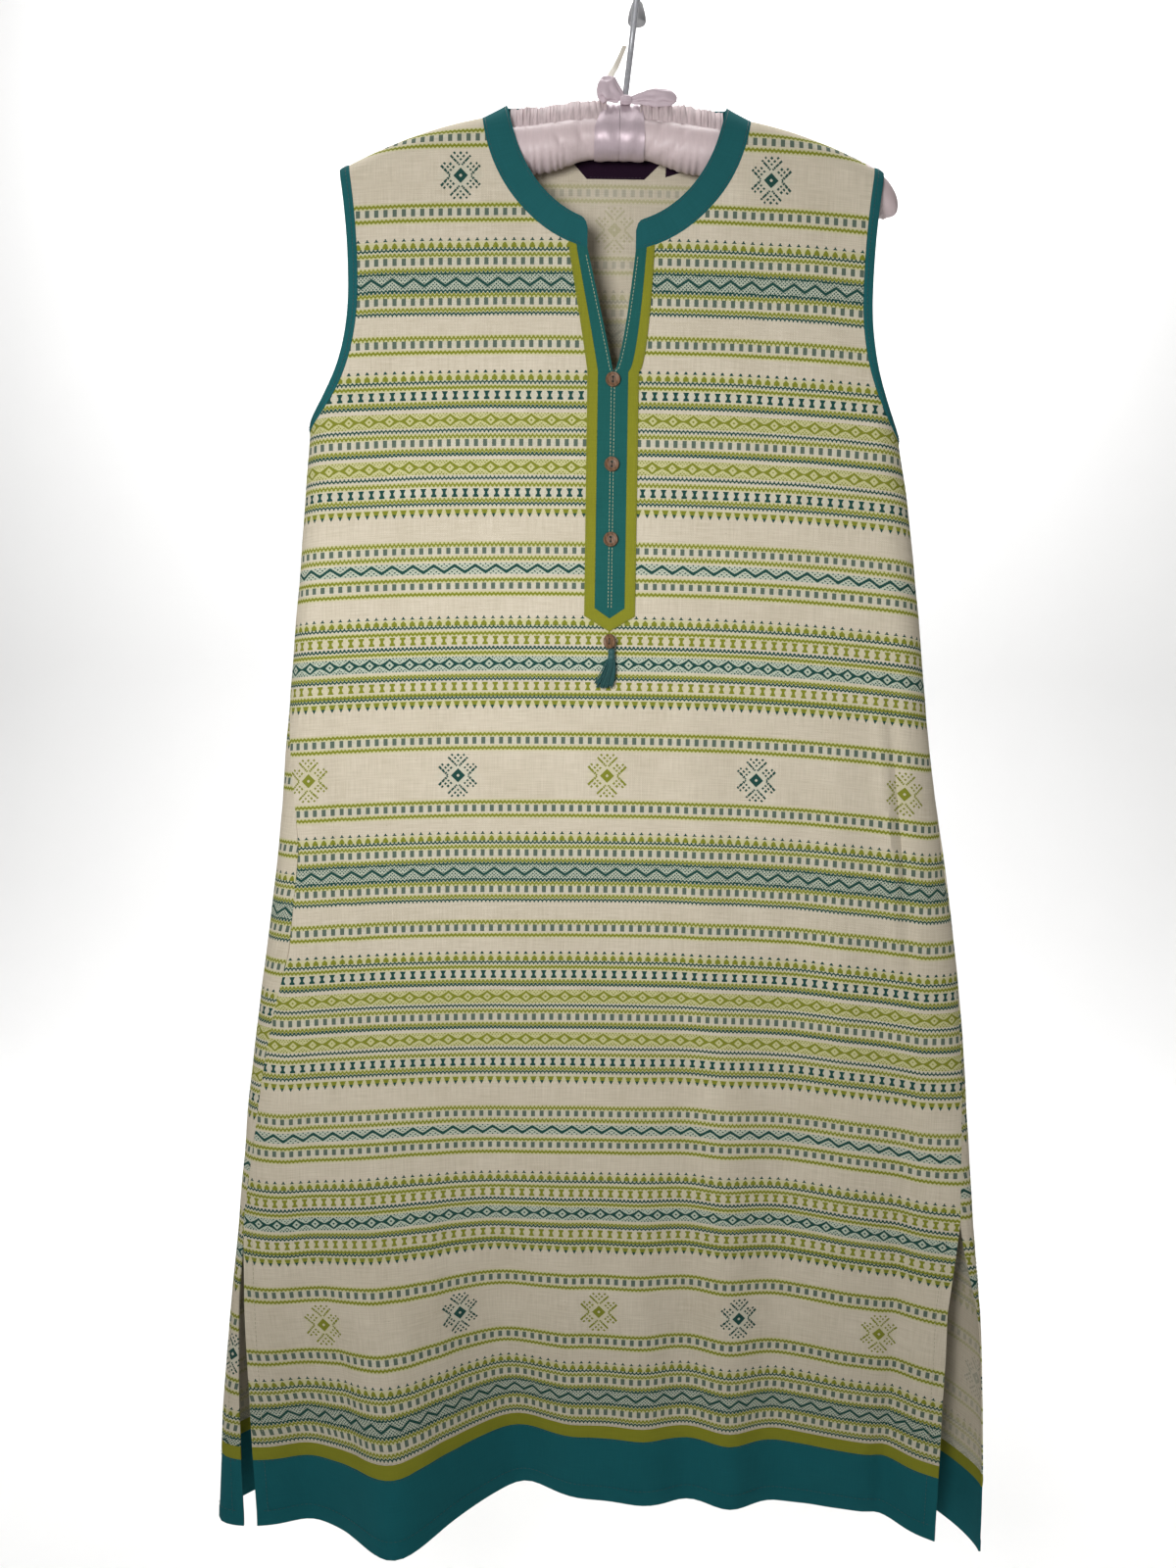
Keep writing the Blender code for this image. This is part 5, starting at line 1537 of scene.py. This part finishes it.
class KURTA_OT_tassel(bpy.types.Operator):
    """Thread tassel hanging from the lowest button"""

    bl_idname = "kurta.tassel"
    bl_label = "Tassel"

    def execute(self, context):
        trim = context.scene.kurta_trim
        look = sewing_thread("tassel_thread", (0.010, 0.078, 0.078))
        places, out = cloth(np.array([[TASSEL_X, TASSEL_AT]]), FRONT)
        neck = Vector(places[0]) + Vector(out[0]) * (WALL / 2 + 0.0036)
        random = np.random.default_rng(7)
        parts = []
        for k in range(trim.strands):
            turn = SPIRAL_TURN * k
            ring = math.sqrt((k + 0.5) / trim.strands)
            start_x, start_y = np.array((math.cos(turn), math.sin(turn))) * SKIRT_RADIUS * ring
            reach = trim.tassel_length * (0.82 + 0.18 * random.random())
            spread_x, spread_y = 1.2 + 2.4 * random.random(), 0.9 + 0.3 * random.random()
            sway = random.normal(0, 0.0005)
            line = []
            for t in np.linspace(0, 1, 9):
                x = start_x * (1 + spread_x * t**0.8) - SKIRT_LEAN * t**1.4 + sway * math.sin(3 * t)
                y = start_y * (1 + (spread_y - 1) * t) - 0.0007 * t
                line.append((neck.x + x, neck.y + y, neck.z - SKIRT_TOP - reach * t))
            parts.append(tube(line, STRAND_RADIUS, 5))
        finish_piece(add_mesh("tassel_skirt", *many(parts)), look, ["tassel"])
        head = turned_mesh("tassel_head", HEAD_PROFILE, 24, Matrix.Translation(neck))
        finish_piece(head, look)
        wraps = []
        for k in range(4):
            z = neck.z - 0.0004 - 0.0003 * k
            line = []
            for turn in np.linspace(0, 2 * math.pi, 25):
                line.append((neck.x + WRAP_RADIUS * math.cos(turn), neck.y + WRAP_RADIUS * math.sin(turn), z))
            wraps.append(tube(line, 0.00022, 6, (0, 0, 1)))
        loop = [(neck.x + x, neck.y + y, neck.z + z) for x, y, z in HANGING_LOOP]
        wraps.append(tube(smooth_line(loop, 20), 0.0003, 6, (0, 1, 0)))
        finish_piece(add_mesh("tassel_wraps", *many(wraps)), look)
        return {"FINISHED"}


class KURTA_OT_labels(bpy.types.Operator):
    """Bare woven label and small tab inside the back neck"""

    bl_idname = "kurta.labels"
    bl_label = "Labels"

    def execute(self, context):
        trim = context.scene.kurta_trim
        look = plain_cloth("label_cloth", trim.label, 0.4)
        lift = -(WALL / 2 + LABEL_THICK)
        top, bottom = LABEL_TOP, LABEL_TOP + LABEL_DEPTH
        label, tab = [], []
        for t in np.linspace(0, 1, 12):
            left, right = LABEL_LEFT + 0.0156 * t, LABEL_RIGHT - 0.0178 * t
            v = top + (bottom - top) * t
            label.append([(left + (right - left) * f, v) for f in np.linspace(0, 1, 24)])
        for t in np.linspace(0, 1, 6):
            left, deep = TAB_LEFT - 0.0005 * t, TAB_DEEP * t
            tab.append([(left + TAB_WIDE * f, top + deep * (1 - 0.42 * f)) for f in np.linspace(0, 1, 6)])
        for name, rows in (("neck_label", label), ("size_tab", tab)):
            made = add_wall(f"bare_{name}", *grid(rows), BACK, LABEL_THICK, lift)
            finish_piece(made, [look, look], [name])
        thread = sewing_thread("label_thread", (0.018, 0.007, 0.018))
        lines = []
        for left, right, v in ((-0.034, 0.036, top + 0.0012), (-0.020, 0.020, bottom - 0.0010)):
            lines.append(([(left, v), (right, v)], BACK, lift - 0.0004))
        sewn("label_stitches", lines, thread, "label_cloth", 0.0026, 0.0018, 0.0003)
        return {"FINISHED"}


SLIT_FOLD = 0.0090
HEM_STITCH = (0.0036, 0.0026)


class KURTA_OT_hem_stitches(bpy.types.Operator):
    """Rows of stitching along the hems and slits"""

    bl_idname = "kurta.hem_stitches"
    bl_label = "Hem stitches"

    def execute(self, context):
        cream, teal = [], []
        for face in FACES:
            for side in SIDES:
                tried = np.linspace(0.80, 0.92, 60)
                start = next(v for v in tried if height_of(side * DROOP_AT, v) < SLIT_TOP[side])
                for levels, lines in (
                    (np.linspace(start, LIME_TOP - 0.002, 60), cream),
                    (np.linspace(BAND_TOP + 0.001, HEM - 0.001, 12), teal),
                ):
                    edge = [(side_edge(v, face, side) - side * SLIT_FOLD, v) for v in levels]
                    lines.append((edge, face, WALL / 2))
            for v, seam_at, share, lift, lines in (
                (HEM - 0.0125, HEM - 0.013, 0.985, 0.0002, teal),
                (LIME_TOP - 0.0010, LIME_TOP - 0.0010, 0.99, 0.0, cream),
                (BAND_TOP + 0.0012, BAND_TOP + 0.0012, 0.99, 0.0, teal),
            ):
                left, right = (side_edge(seam_at, face, side) * share for side in SIDES)
                lines.append(([(u, v) for u in np.linspace(left, right, 60)], face, WALL / 2 + lift))
        width = context.scene.kurta_trim.stitch_width * 0.9
        pale = sewing_thread("cream_thread", (0.36, 0.33, 0.22))
        deep = sewing_thread("deep_teal_thread", (0.012, 0.070, 0.075))
        sewn("slit_stitches", cream, pale, "cream_cotton", *HEM_STITCH, width)
        sewn("hem_border_stitches", teal, deep, "deep_teal_cotton", *HEM_STITCH, width)
        return {"FINISHED"}


# Hanger


def ribbon_pull(x):
    """1 under the ribbon's turns, falling to 0 away from them."""
    return np.exp(-(((np.asarray(x) - RIBBON_CENTRE) / RIBBON_REACH) ** 4))


def arm_radius(x):
    radius = ARM_RADIUS - RIBBON_SQUEEZE * ribbon_pull(x)
    end = np.minimum(np.asarray(x) - ARM_LEFT, ARM_RIGHT - np.asarray(x))
    round_off = np.sqrt(np.maximum(0.0, 1 - (1 - np.clip(end / ARM_END, 0, 1)) ** 2))
    return radius * round_off


def arm_low(x):
    """How much deeper the padding hangs below its middle than it stands above it."""
    return 1 + ARM_LOW * (1 - ribbon_pull(x))


def arm_centre(x):
    """Height of the arm's middle, which dips towards the sides of the neck."""
    x = np.asarray(x, float)
    away = np.abs(x - RIBBON_CENTRE)
    dip = ARM_DIP * smooth((0.0, 0.018, 0.076, 0.105, 0.150, 0.3), (0.0, 0.05, 1.0, 0.9, 0.0, 0.0), away)
    return shoulder_height(x) - 0.0009 - ARM_RADIUS + RIBBON_SQUEEZE * ribbon_pull(x) - dip


def arm_point(x, turn, out):
    """A point of the arm's skin moved out. turn is 0 on top and grows towards the front."""
    radius = arm_radius(x) + out
    high = radius * np.cos(turn) * np.where(np.cos(turn) > 0, 1.0, arm_low(x))
    return np.stack([x + GARMENT_X, -radius * np.sin(turn), arm_centre(x) + high], -1)


def gathers(x, spacing, phase):
    """Uneven pleats along the arm, from -1 to 1."""
    warped = x + 0.0022 * np.sin(x * 131 + phase) + 0.0012 * np.sin(x * 311 + 2 * phase)
    wave = np.sin(2 * math.pi * warped / spacing)
    return np.sign(wave) * np.abs(wave) ** 0.7 * (0.75 + 0.25 * np.sin(x * 83 + phase))


ARM_SIDES = 72
ARM_LENGTH_STEPS = 330
ARM_END_STEPS = 14
# Pulls in the satin beside the ribbon: distance from its centre, slant, depth (+ stands out)
ARM_PULLS = (
    (0.0215, 0.009, -0.0016),
    (0.0275, 0.012, 0.0013),
    (0.0345, 0.014, -0.0013),
    (0.0420, 0.010, 0.0008),
)
FRILL_SEAM = math.radians(40)
FRILL_ROWS = 12
# Left end, right end, phase of the gathers
FRILL_SPANS = {
    "left": (-0.0790, RIBBON_CENTRE - RIBBON_WIDTH * 0.55, 0.9),
    "right": (RIBBON_CENTRE + RIBBON_WIDTH * 0.80, 0.0790, 2.4),
}


def turned_to(turn, towards, reach):
    """1 where the arm's skin faces a way, falling to 0 away from it. The way and the reach are in degrees."""
    return np.exp(-(((turn - math.radians(towards)) / math.radians(reach)) ** 2))


def arm_relief(x, turn, gather):
    """How far the satin stands out: gathers, pulls beside the ribbon and crushed padding."""
    low = turned_to(turn, 172, 46)
    high = turned_to(turn, 18, 26)
    free = 1 - 0.85 * ribbon_pull(x)
    push = gather * (gathers(x, 0.0066, 0.3) * low * free + 0.7 * gathers(x, 0.0052, 1.7) * high)
    away = np.abs(x - RIBBON_CENTRE)
    pulls = 0.0
    for start, slope, depth in ARM_PULLS:
        line = away - start - slope * np.cos(turn - math.radians(60))
        pulls = pulls + depth * np.exp(-((line / 0.0028) ** 2))
    crush = 0.0004 * np.sin(x * 90 + 3 * turn) * np.sin(x * 41 - 2 * turn + 1)
    push = push + pulls * turned_to(turn, 85, 60) * 0.8 + crush
    return np.minimum(push, 0.0002 + 0.0010 * low)


class KURTA_OT_hanger_arm(bpy.types.Operator):
    """Padded satin arm with its gathered top edge"""

    bl_idname = "kurta.hanger_arm"
    bl_label = "Hanger arm"

    def execute(self, context):
        settings = context.scene.kurta_hanger
        satin = satin_cloth("hanger_satin", settings.satin, 0.42, 0.8)
        # The gathered satin has painted shade between its pleats
        gathered = satin_cloth("gathered_satin", settings.satin, 0.55, 0.5, painted_pleat_shade=0.35)
        steps = [math.pi / 2 * k / ARM_END_STEPS for k in range(1, ARM_END_STEPS + 1)]
        ends = np.array([ARM_END * (1 - math.cos(step)) for step in steps])
        middle = np.linspace(ARM_LEFT + ARM_END, ARM_RIGHT - ARM_END, ARM_LENGTH_STEPS)[1:-1]
        along = np.concatenate([ARM_LEFT + ends, middle, ARM_RIGHT - ends[::-1]])
        around = np.arange(ARM_SIDES) * 2 * math.pi / ARM_SIDES
        x, turn = np.meshgrid(along, around, indexing="ij")
        places = arm_point(x, turn, arm_relief(x, turn, settings.gather))
        made = add_mesh("padded_arm", places.reshape(-1, 3), ring_faces(len(along), ARM_SIDES))
        finish_piece(face_outwards(made), satin, ["hanger_arm"])
        for name, span in FRILL_SPANS.items():
            self.frill(name, *span, settings.frill_height, gathered)
        return {"FINISHED"}

    def frill(self, name, start, end, phase, frill_height, satin):
        """A gathered edge standing on the arm's seam, in front of its top line."""
        x = np.linspace(start, end, int((end - start) / 0.0004))
        foot = arm_point(x, np.full(len(x), FRILL_SEAM), -0.0005)
        height = frill_height * (1 + 0.03 * np.sin(x * 150) + 0.035 * np.sin(x * 377 + 1))
        head_y = foot[:, 1] * 0.35
        head_z = arm_centre(x) + arm_radius(x) + height - 0.0014
        rows = []
        for t in np.arange(FRILL_ROWS) / (FRILL_ROWS - 1):
            wave = 0.55 * gathers(x, 0.0034, phase) + 0.65 * gathers(x + 0.0016 * t, 0.0061, phase * 2)
            fullness = 0.0004 + 0.0012 * t**0.8
            bow = math.sin(t * math.pi) * 0.0018
            y = foot[:, 1] * (1 - t) + head_y * t - bow - wave * fullness * 0.9
            rows.append(np.stack([foot[:, 0] + 0.0005 * wave * t, y, foot[:, 2] * (1 - t) + head_z * t], -1))
        run = np.stack(np.broadcast_arrays(x[:, None], np.linspace(0, 0.016, FRILL_ROWS)[None]), -1)
        places = np.stack(rows, 1)
        made, _ = add_grid_wall(f"gathered_edge_{name}", places, (0.0, -1.0, 0.2), run, 0.0005)
        finish_piece(made, [satin, satin], [f"frill_{name}"])


RIBBON_COLUMNS = 16
RIBBON_ROWS = 96
LOOP_SIDES = 40
LOOP_RINGS = 26
KNOT_RINGS = 17
TAIL_RINGS = 30
# Bow loops, from the knot: start, end, half width, half depth, depth of the pleats
BOW_LOOPS = {
    "left": ((-0.0040, 0.0, 0.0006), (-0.0215, -0.001, 0.0090), 0.0086, 0.0040, 0.12),
    "right": ((0.0040, 0.0, 0.0), (0.0380, -0.001, 0.0006), 0.0060, 0.0034, 0.16),
}
class KURTA_OT_ribbon(bpy.types.Operator):
    """Two ribbon turns round the arm and the bow on the wire"""

    bl_idname = "kurta.ribbon"
    bl_label = "Ribbon and bow"

    def execute(self, context):
        settings = context.scene.kurta_hanger
        look = satin_cloth("bow_satin", settings.ribbon, 0.40, 0.5, 0.28)
        around = np.arange(RIBBON_ROWS + 1) * 2 * math.pi / RIBBON_ROWS
        turn, across = np.meshgrid(around, np.linspace(0, 1, RIBBON_COLUMNS), indexing="ij")
        top = np.maximum(np.cos(turn), 0.0)
        for side, name in SIDES.items():
            width = RIBBON_WIDTH * (1 - RIBBON_NARROWS[side] * top**1.5)
            x = RIBBON_CENTRE + side * (0.00015 + width * across)
            crown = 0.0006 * np.sin(across * math.pi) + 0.0003 * np.sin(across * 9 + 2 * turn)
            crown += 0.0006 * top**5 * np.sin(across * 19 + 1)
            places = arm_point(x, turn, 0.0007 + crown)
            places[..., 2] += RIBBON_RISE * top**5
            cut = np.stack([across * RIBBON_WIDTH, turn * ARM_RADIUS], -1)
            made, _ = add_grid_wall(f"ribbon_band_{name}", places, (0.0, 0.0, 1.0), cut, RIBBON_THICK)
            finish_piece(made, [look, look], [f"ribbon_turn_{name}"])
        self.bow(satin_cloth("tied_satin", settings.ribbon, 0.5, 0.8))
        return {"FINISHED"}

    def bow(self, look):
        """Knot, two crumpled loops and a tail behind the wire."""
        x, y, z = knot = np.array((HOOK_LEAN * KNOT_HEIGHT + 0.001, -(HOOK_WIRE + KNOT + GAP), KNOT_HEIGHT))
        line = smooth_line([(x + KNOT * f, y, z) for f in (-1.25, -0.6, 0.0, 0.6, 1.25)], KNOT_RINGS)
        sizes = KNOT * (0.55 + 0.45 * np.sin(np.linspace(0.25, math.pi - 0.25, KNOT_RINGS)) ** 0.7)
        made = add_mesh("bow_knot_satin", *tube(line, sizes[:, None], 28, (0, -1, 0), 0.09, 7))
        finish_piece(face_outwards(made), look, ["bow_knot"])
        for name, loop in BOW_LOOPS.items():
            made = face_outwards(add_mesh(f"bow_{name}_satin", *self.loop(knot, *loop)))
            finish_piece(made, look, [f"bow_loop_{name}"])
        tail = [(x - 0.0108, y + 0.001, z + 0.0132), (x - 0.0116, 0.0010, z + 0.0200),
                (x - 0.0075, 0.0065, z + 0.0300), (x - 0.0010, 0.0085, z + 0.0455)]
        tail = smooth_line(tail, TAIL_RINGS)
        widths = 0.0023 + 0.0004 * np.sin(np.linspace(0, 5, TAIL_RINGS))
        made = add_mesh("bow_tail_satin", *tube(tail, [(w, 0.00035) for w in widths], 12, (0, -1, 0)))
        look = satin_cloth("tail_satin", (0.60, 0.55, 0.47), 0.5, 0.3)
        finish_piece(face_outwards(made), look, ["bow_tail"])

    def loop(self, knot, start, end, wide, deep, pleat):
        """Points and faces of one loop, pleated at the knot and crumpled all over."""
        start, end = knot + start, knot + end
        t = np.linspace(0, 1, LOOP_RINGS)
        arch = np.array((0.0, 0.0, 1.0)) * (0.0016 * np.sin(t * math.pi))[:, None]
        path = start + (end - start) * t[:, None] + arch
        tip = np.sqrt(np.clip(1 - ((t - 0.55) / 0.46).clip(0, 1) ** 2.6, 0.012, 1))
        swell = np.clip(0.34 + 1.25 * t**0.9, 0, 1) * tip
        sizes = [(wide * s, deep * (0.55 + 0.45 * s) * min(1.0, s + 0.05)) for s in swell]
        points, faces = tube(path, sizes, LOOP_SIDES, (0, -1, 0))
        points = np.array(points).reshape(len(t), LOOP_SIDES, 3)
        turn = np.arange(LOOP_SIDES) * 2 * math.pi / LOOP_SIDES
        for k, part in enumerate(t):
            depth = pleat * (1 - part) ** 0.8 + 0.03
            crumple = 1 + depth * np.sin(6 * turn + 0.8) + 0.05 * np.sin(3 * turn + 4 * part)
            swell = 0.20 * np.abs(np.sin(2 * turn + 5.5 * part + 0.6))
            crumple += swell - 0.16 * np.abs(np.sin(turn - 7 * part))
            points[k] = path[k] + (points[k] - path[k]) * crumple[:, None]
        return points.reshape(-1, 3), faces


# Depth and height of the wire's lower stretch, above its foot
WIRE_LINE = (
    (0.0, -0.078), (0.0, -0.068), (-0.0008, -0.058), (-0.0045, -0.047), (-0.0110, -0.037), (-0.0165, -0.0285),
)
# The upper bend turns from behind to the tip, in degrees
BEND_FROM = 190
BEND_TO = 12
BEND_STEPS = 14
WIRE_RINGS = 110
WIRE_FOOT_X = 0.006
# Share of the cap's radius, share of its length
CAP_PROFILE = (
    (0.42, 0.10), (0.60, 0.06), (0.66, -0.04), (0.74, -0.18), (0.86, -0.38), (0.95, -0.60),
    (1.0, -0.80), (0.99, -0.91), (0.93, -0.98), (0.80, -1.0), (0.4, -0.97),
)


class KURTA_OT_hook(bpy.types.Operator):
    """Bent wire hook with a cap on its tip"""

    bl_idname = "kurta.hook"
    bl_label = "Hook"

    def execute(self, context):
        settings = context.scene.kurta_hanger
        wire = drawn_wire("hook_wire_metal", settings.metal)
        foot = float(arm_centre(WIRE_FOOT_X) + arm_radius(WIRE_FOOT_X)) + 0.0004
        centre = HOOK_WIRE - HOOK_RADIUS
        line = [(0.0, foot), *WIRE_LINE]
        for k in range(BEND_STEPS + 1):
            turn = math.radians(BEND_FROM - (BEND_FROM - BEND_TO) * k / BEND_STEPS)
            line.append((HOOK_RADIUS * math.cos(turn), centre + HOOK_RADIUS * math.sin(turn)))
        path = smooth_line([(HOOK_LEAN * z, y, z) for y, z in line], WIRE_RINGS)
        made = add_mesh("bent_hook_wire", *tube(path, HOOK_WIRE, 20))
        finish_piece(face_outwards(made), wire, ["hook_wire"])
        y, z = line[-1]
        profile = [(r * CAP_RADIUS, h * CAP_LENGTH) for r, h in CAP_PROFILE]
        made = turned_mesh("moulded_tip_cap", profile, 40, Matrix.Translation((HOOK_LEAN * z, y, z)))
        finish_piece(made, moulded_grey("cap_grey", settings.cap), ["hook_tip_cap"])
        return {"FINISHED"}


# Stage


FLOOR_HALF = 6.0
FLOOR_NEAR = -6.0
BEND_AT = 1.6
BEND_RADIUS = 0.9
BEND_ROWS = 24
WALL_TOP = 4.0
PAPER_DARK = (0.86, 0.86, 0.86)
PAPER_LIGHT = (0.90, 0.90, 0.90)
AMBIENT = (1.0, 0.985, 0.96, 1.0)
KEY_PLACE, KEY_AIM, KEY_SIZE = (-0.34, -1.00, -0.36), (-0.02, 0.0, -0.50), 0.4
BACKDROP_PLACE, BACKDROP_AIM, BACKDROP_SIZE = (0.0, 0.9, 1.6), (0.0, 2.4, -0.4), 2.4
CAMERA_PLACE = (-0.0308, -0.9275, -0.518)


class KURTA_OT_stage(bpy.types.Operator):
    """Pale floor, soft light and the camera"""

    bl_idname = "kurta.stage"
    bl_label = "Stage"

    def execute(self, context):
        settings = context.scene.kurta_studio
        self.floor(settings)
        world = bpy.data.worlds.new("studio_light")
        world.use_nodes = True
        world.node_tree.nodes["Background"].inputs[0].default_value = AMBIENT
        world.node_tree.nodes["Background"].inputs[1].default_value = settings.fill
        context.scene.world = world
        self.lamp("key_light", KEY_PLACE, KEY_AIM, KEY_SIZE, settings.key, settings.spread)
        self.lamp("backdrop_light", BACKDROP_PLACE, BACKDROP_AIM, BACKDROP_SIZE, settings.backdrop, math.pi)
        self.camera(context.scene, settings)
        context.scene.view_settings.view_transform = "Standard"
        return {"FINISHED"}

    def floor(self, settings):
        """A sheet of paper that bends up into the backdrop."""
        profile = [(FLOOR_NEAR, -settings.floor)]
        for k in range(BEND_ROWS + 1):
            turn = math.pi / 2 * k / BEND_ROWS
            rise = BEND_RADIUS * (1 - math.cos(turn))
            profile.append((BEND_AT + BEND_RADIUS * math.sin(turn), rise - settings.floor))
        profile.append((BEND_AT + BEND_RADIUS, WALL_TOP))
        points = [(x, y, z) for y, z in profile for x in (-FLOOR_HALF, FLOOR_HALF)]
        faces = [(2 * k, 2 * k + 1, 2 * k + 3, 2 * k + 2) for k in range(len(profile) - 1)]
        made = add_mesh("studio_floor", points, faces)
        look = Look("studio_paper", Roughness=0.9)
        tone = look.noise_in_space((0.002, 0.002, 0.002), 3.0)
        made.data.materials.append(look.finish(look.mix(tone, PAPER_DARK, PAPER_LIGHT)))
        made.data.shade_smooth()

    def lamp(self, name, place, aim, size, power, spread):
        lamp = bpy.data.lights.new(name, "AREA")
        lamp.shape = "DISK"
        lamp.spread = spread
        lamp.size = size
        lamp.energy = power
        made = bpy.data.objects.new(name, lamp)
        made.location = place
        made.rotation_euler = (Vector(aim) - Vector(place)).to_track_quat("-Z", "Y").to_euler()
        bpy.context.scene.collection.objects.link(made)

    def camera(self, scene, settings):
        camera = bpy.data.cameras.new("camera")
        camera.sensor_fit = "VERTICAL"
        camera.sensor_height = 36.0
        camera.lens = settings.lens
        camera.clip_start = 0.02
        made = bpy.data.objects.new("camera", camera)
        ahead = Vector((0, math.cos(settings.pitch), -math.sin(settings.pitch)))
        up = Vector((0, math.sin(settings.pitch), math.cos(settings.pitch)))
        right = Vector((1, 0, 0))
        across = right * math.cos(settings.roll) + up * math.sin(settings.roll)
        above = up * math.cos(settings.roll) - right * math.sin(settings.roll)
        placed = Matrix((across, above, -ahead)).transposed().to_4x4()
        placed.translation = Vector(CAMERA_PLACE)
        made.matrix_world = placed
        scene.collection.objects.link(made)
        scene.camera = made


class KURTA_PT_panel(bpy.types.Panel):
    """Lists the kurta's pieces and settings"""

    bl_idname = "KURTA_PT_panel"
    bl_label = "Kurta"
    bl_space_type = "VIEW_3D"
    bl_region_type = "UI"
    bl_category = "Kurta"

    def draw(self, context):
        for operator in OPERATORS:
            self.layout.operator(operator.bl_idname)
        for name in SETTINGS:
            group = getattr(context.scene, name)
            box = self.layout.box()
            for key in group.__annotations__:
                box.prop(group, key)


OPERATORS = (
    KURTA_OT_hems,
    KURTA_OT_neck_band,
    KURTA_OT_armhole_bindings,
    KURTA_OT_placket,
    KURTA_OT_hem_stitches,
    KURTA_OT_buttons,
    KURTA_OT_tassel,
    KURTA_OT_labels,
    KURTA_OT_panels,
    KURTA_OT_hanger_arm,
    KURTA_OT_ribbon,
    KURTA_OT_hook,
    KURTA_OT_stage,
)
SETTINGS = {
    "kurta_cloth": KurtaCloth,
    "kurta_trim": KurtaTrim,
    "kurta_hanger": PaddedHanger,
    "kurta_studio": KurtaStudio,
}


def register():
    for group in (*SETTINGS.values(), *OPERATORS, KURTA_PT_panel):
        bpy.utils.register_class(group)
    for name, group in SETTINGS.items():
        setattr(bpy.types.Scene, name, PointerProperty(type=group))


def unregister():
    for name in SETTINGS:
        delattr(bpy.types.Scene, name)
    for group in reversed((*SETTINGS.values(), *OPERATORS, KURTA_PT_panel)):
        bpy.utils.unregister_class(group)


def main():
    register()
    for operator in OPERATORS:
        area, call = operator.bl_idname.split(".")
        getattr(getattr(bpy.ops, area), call)()


if __name__ == "__main__":
    main()
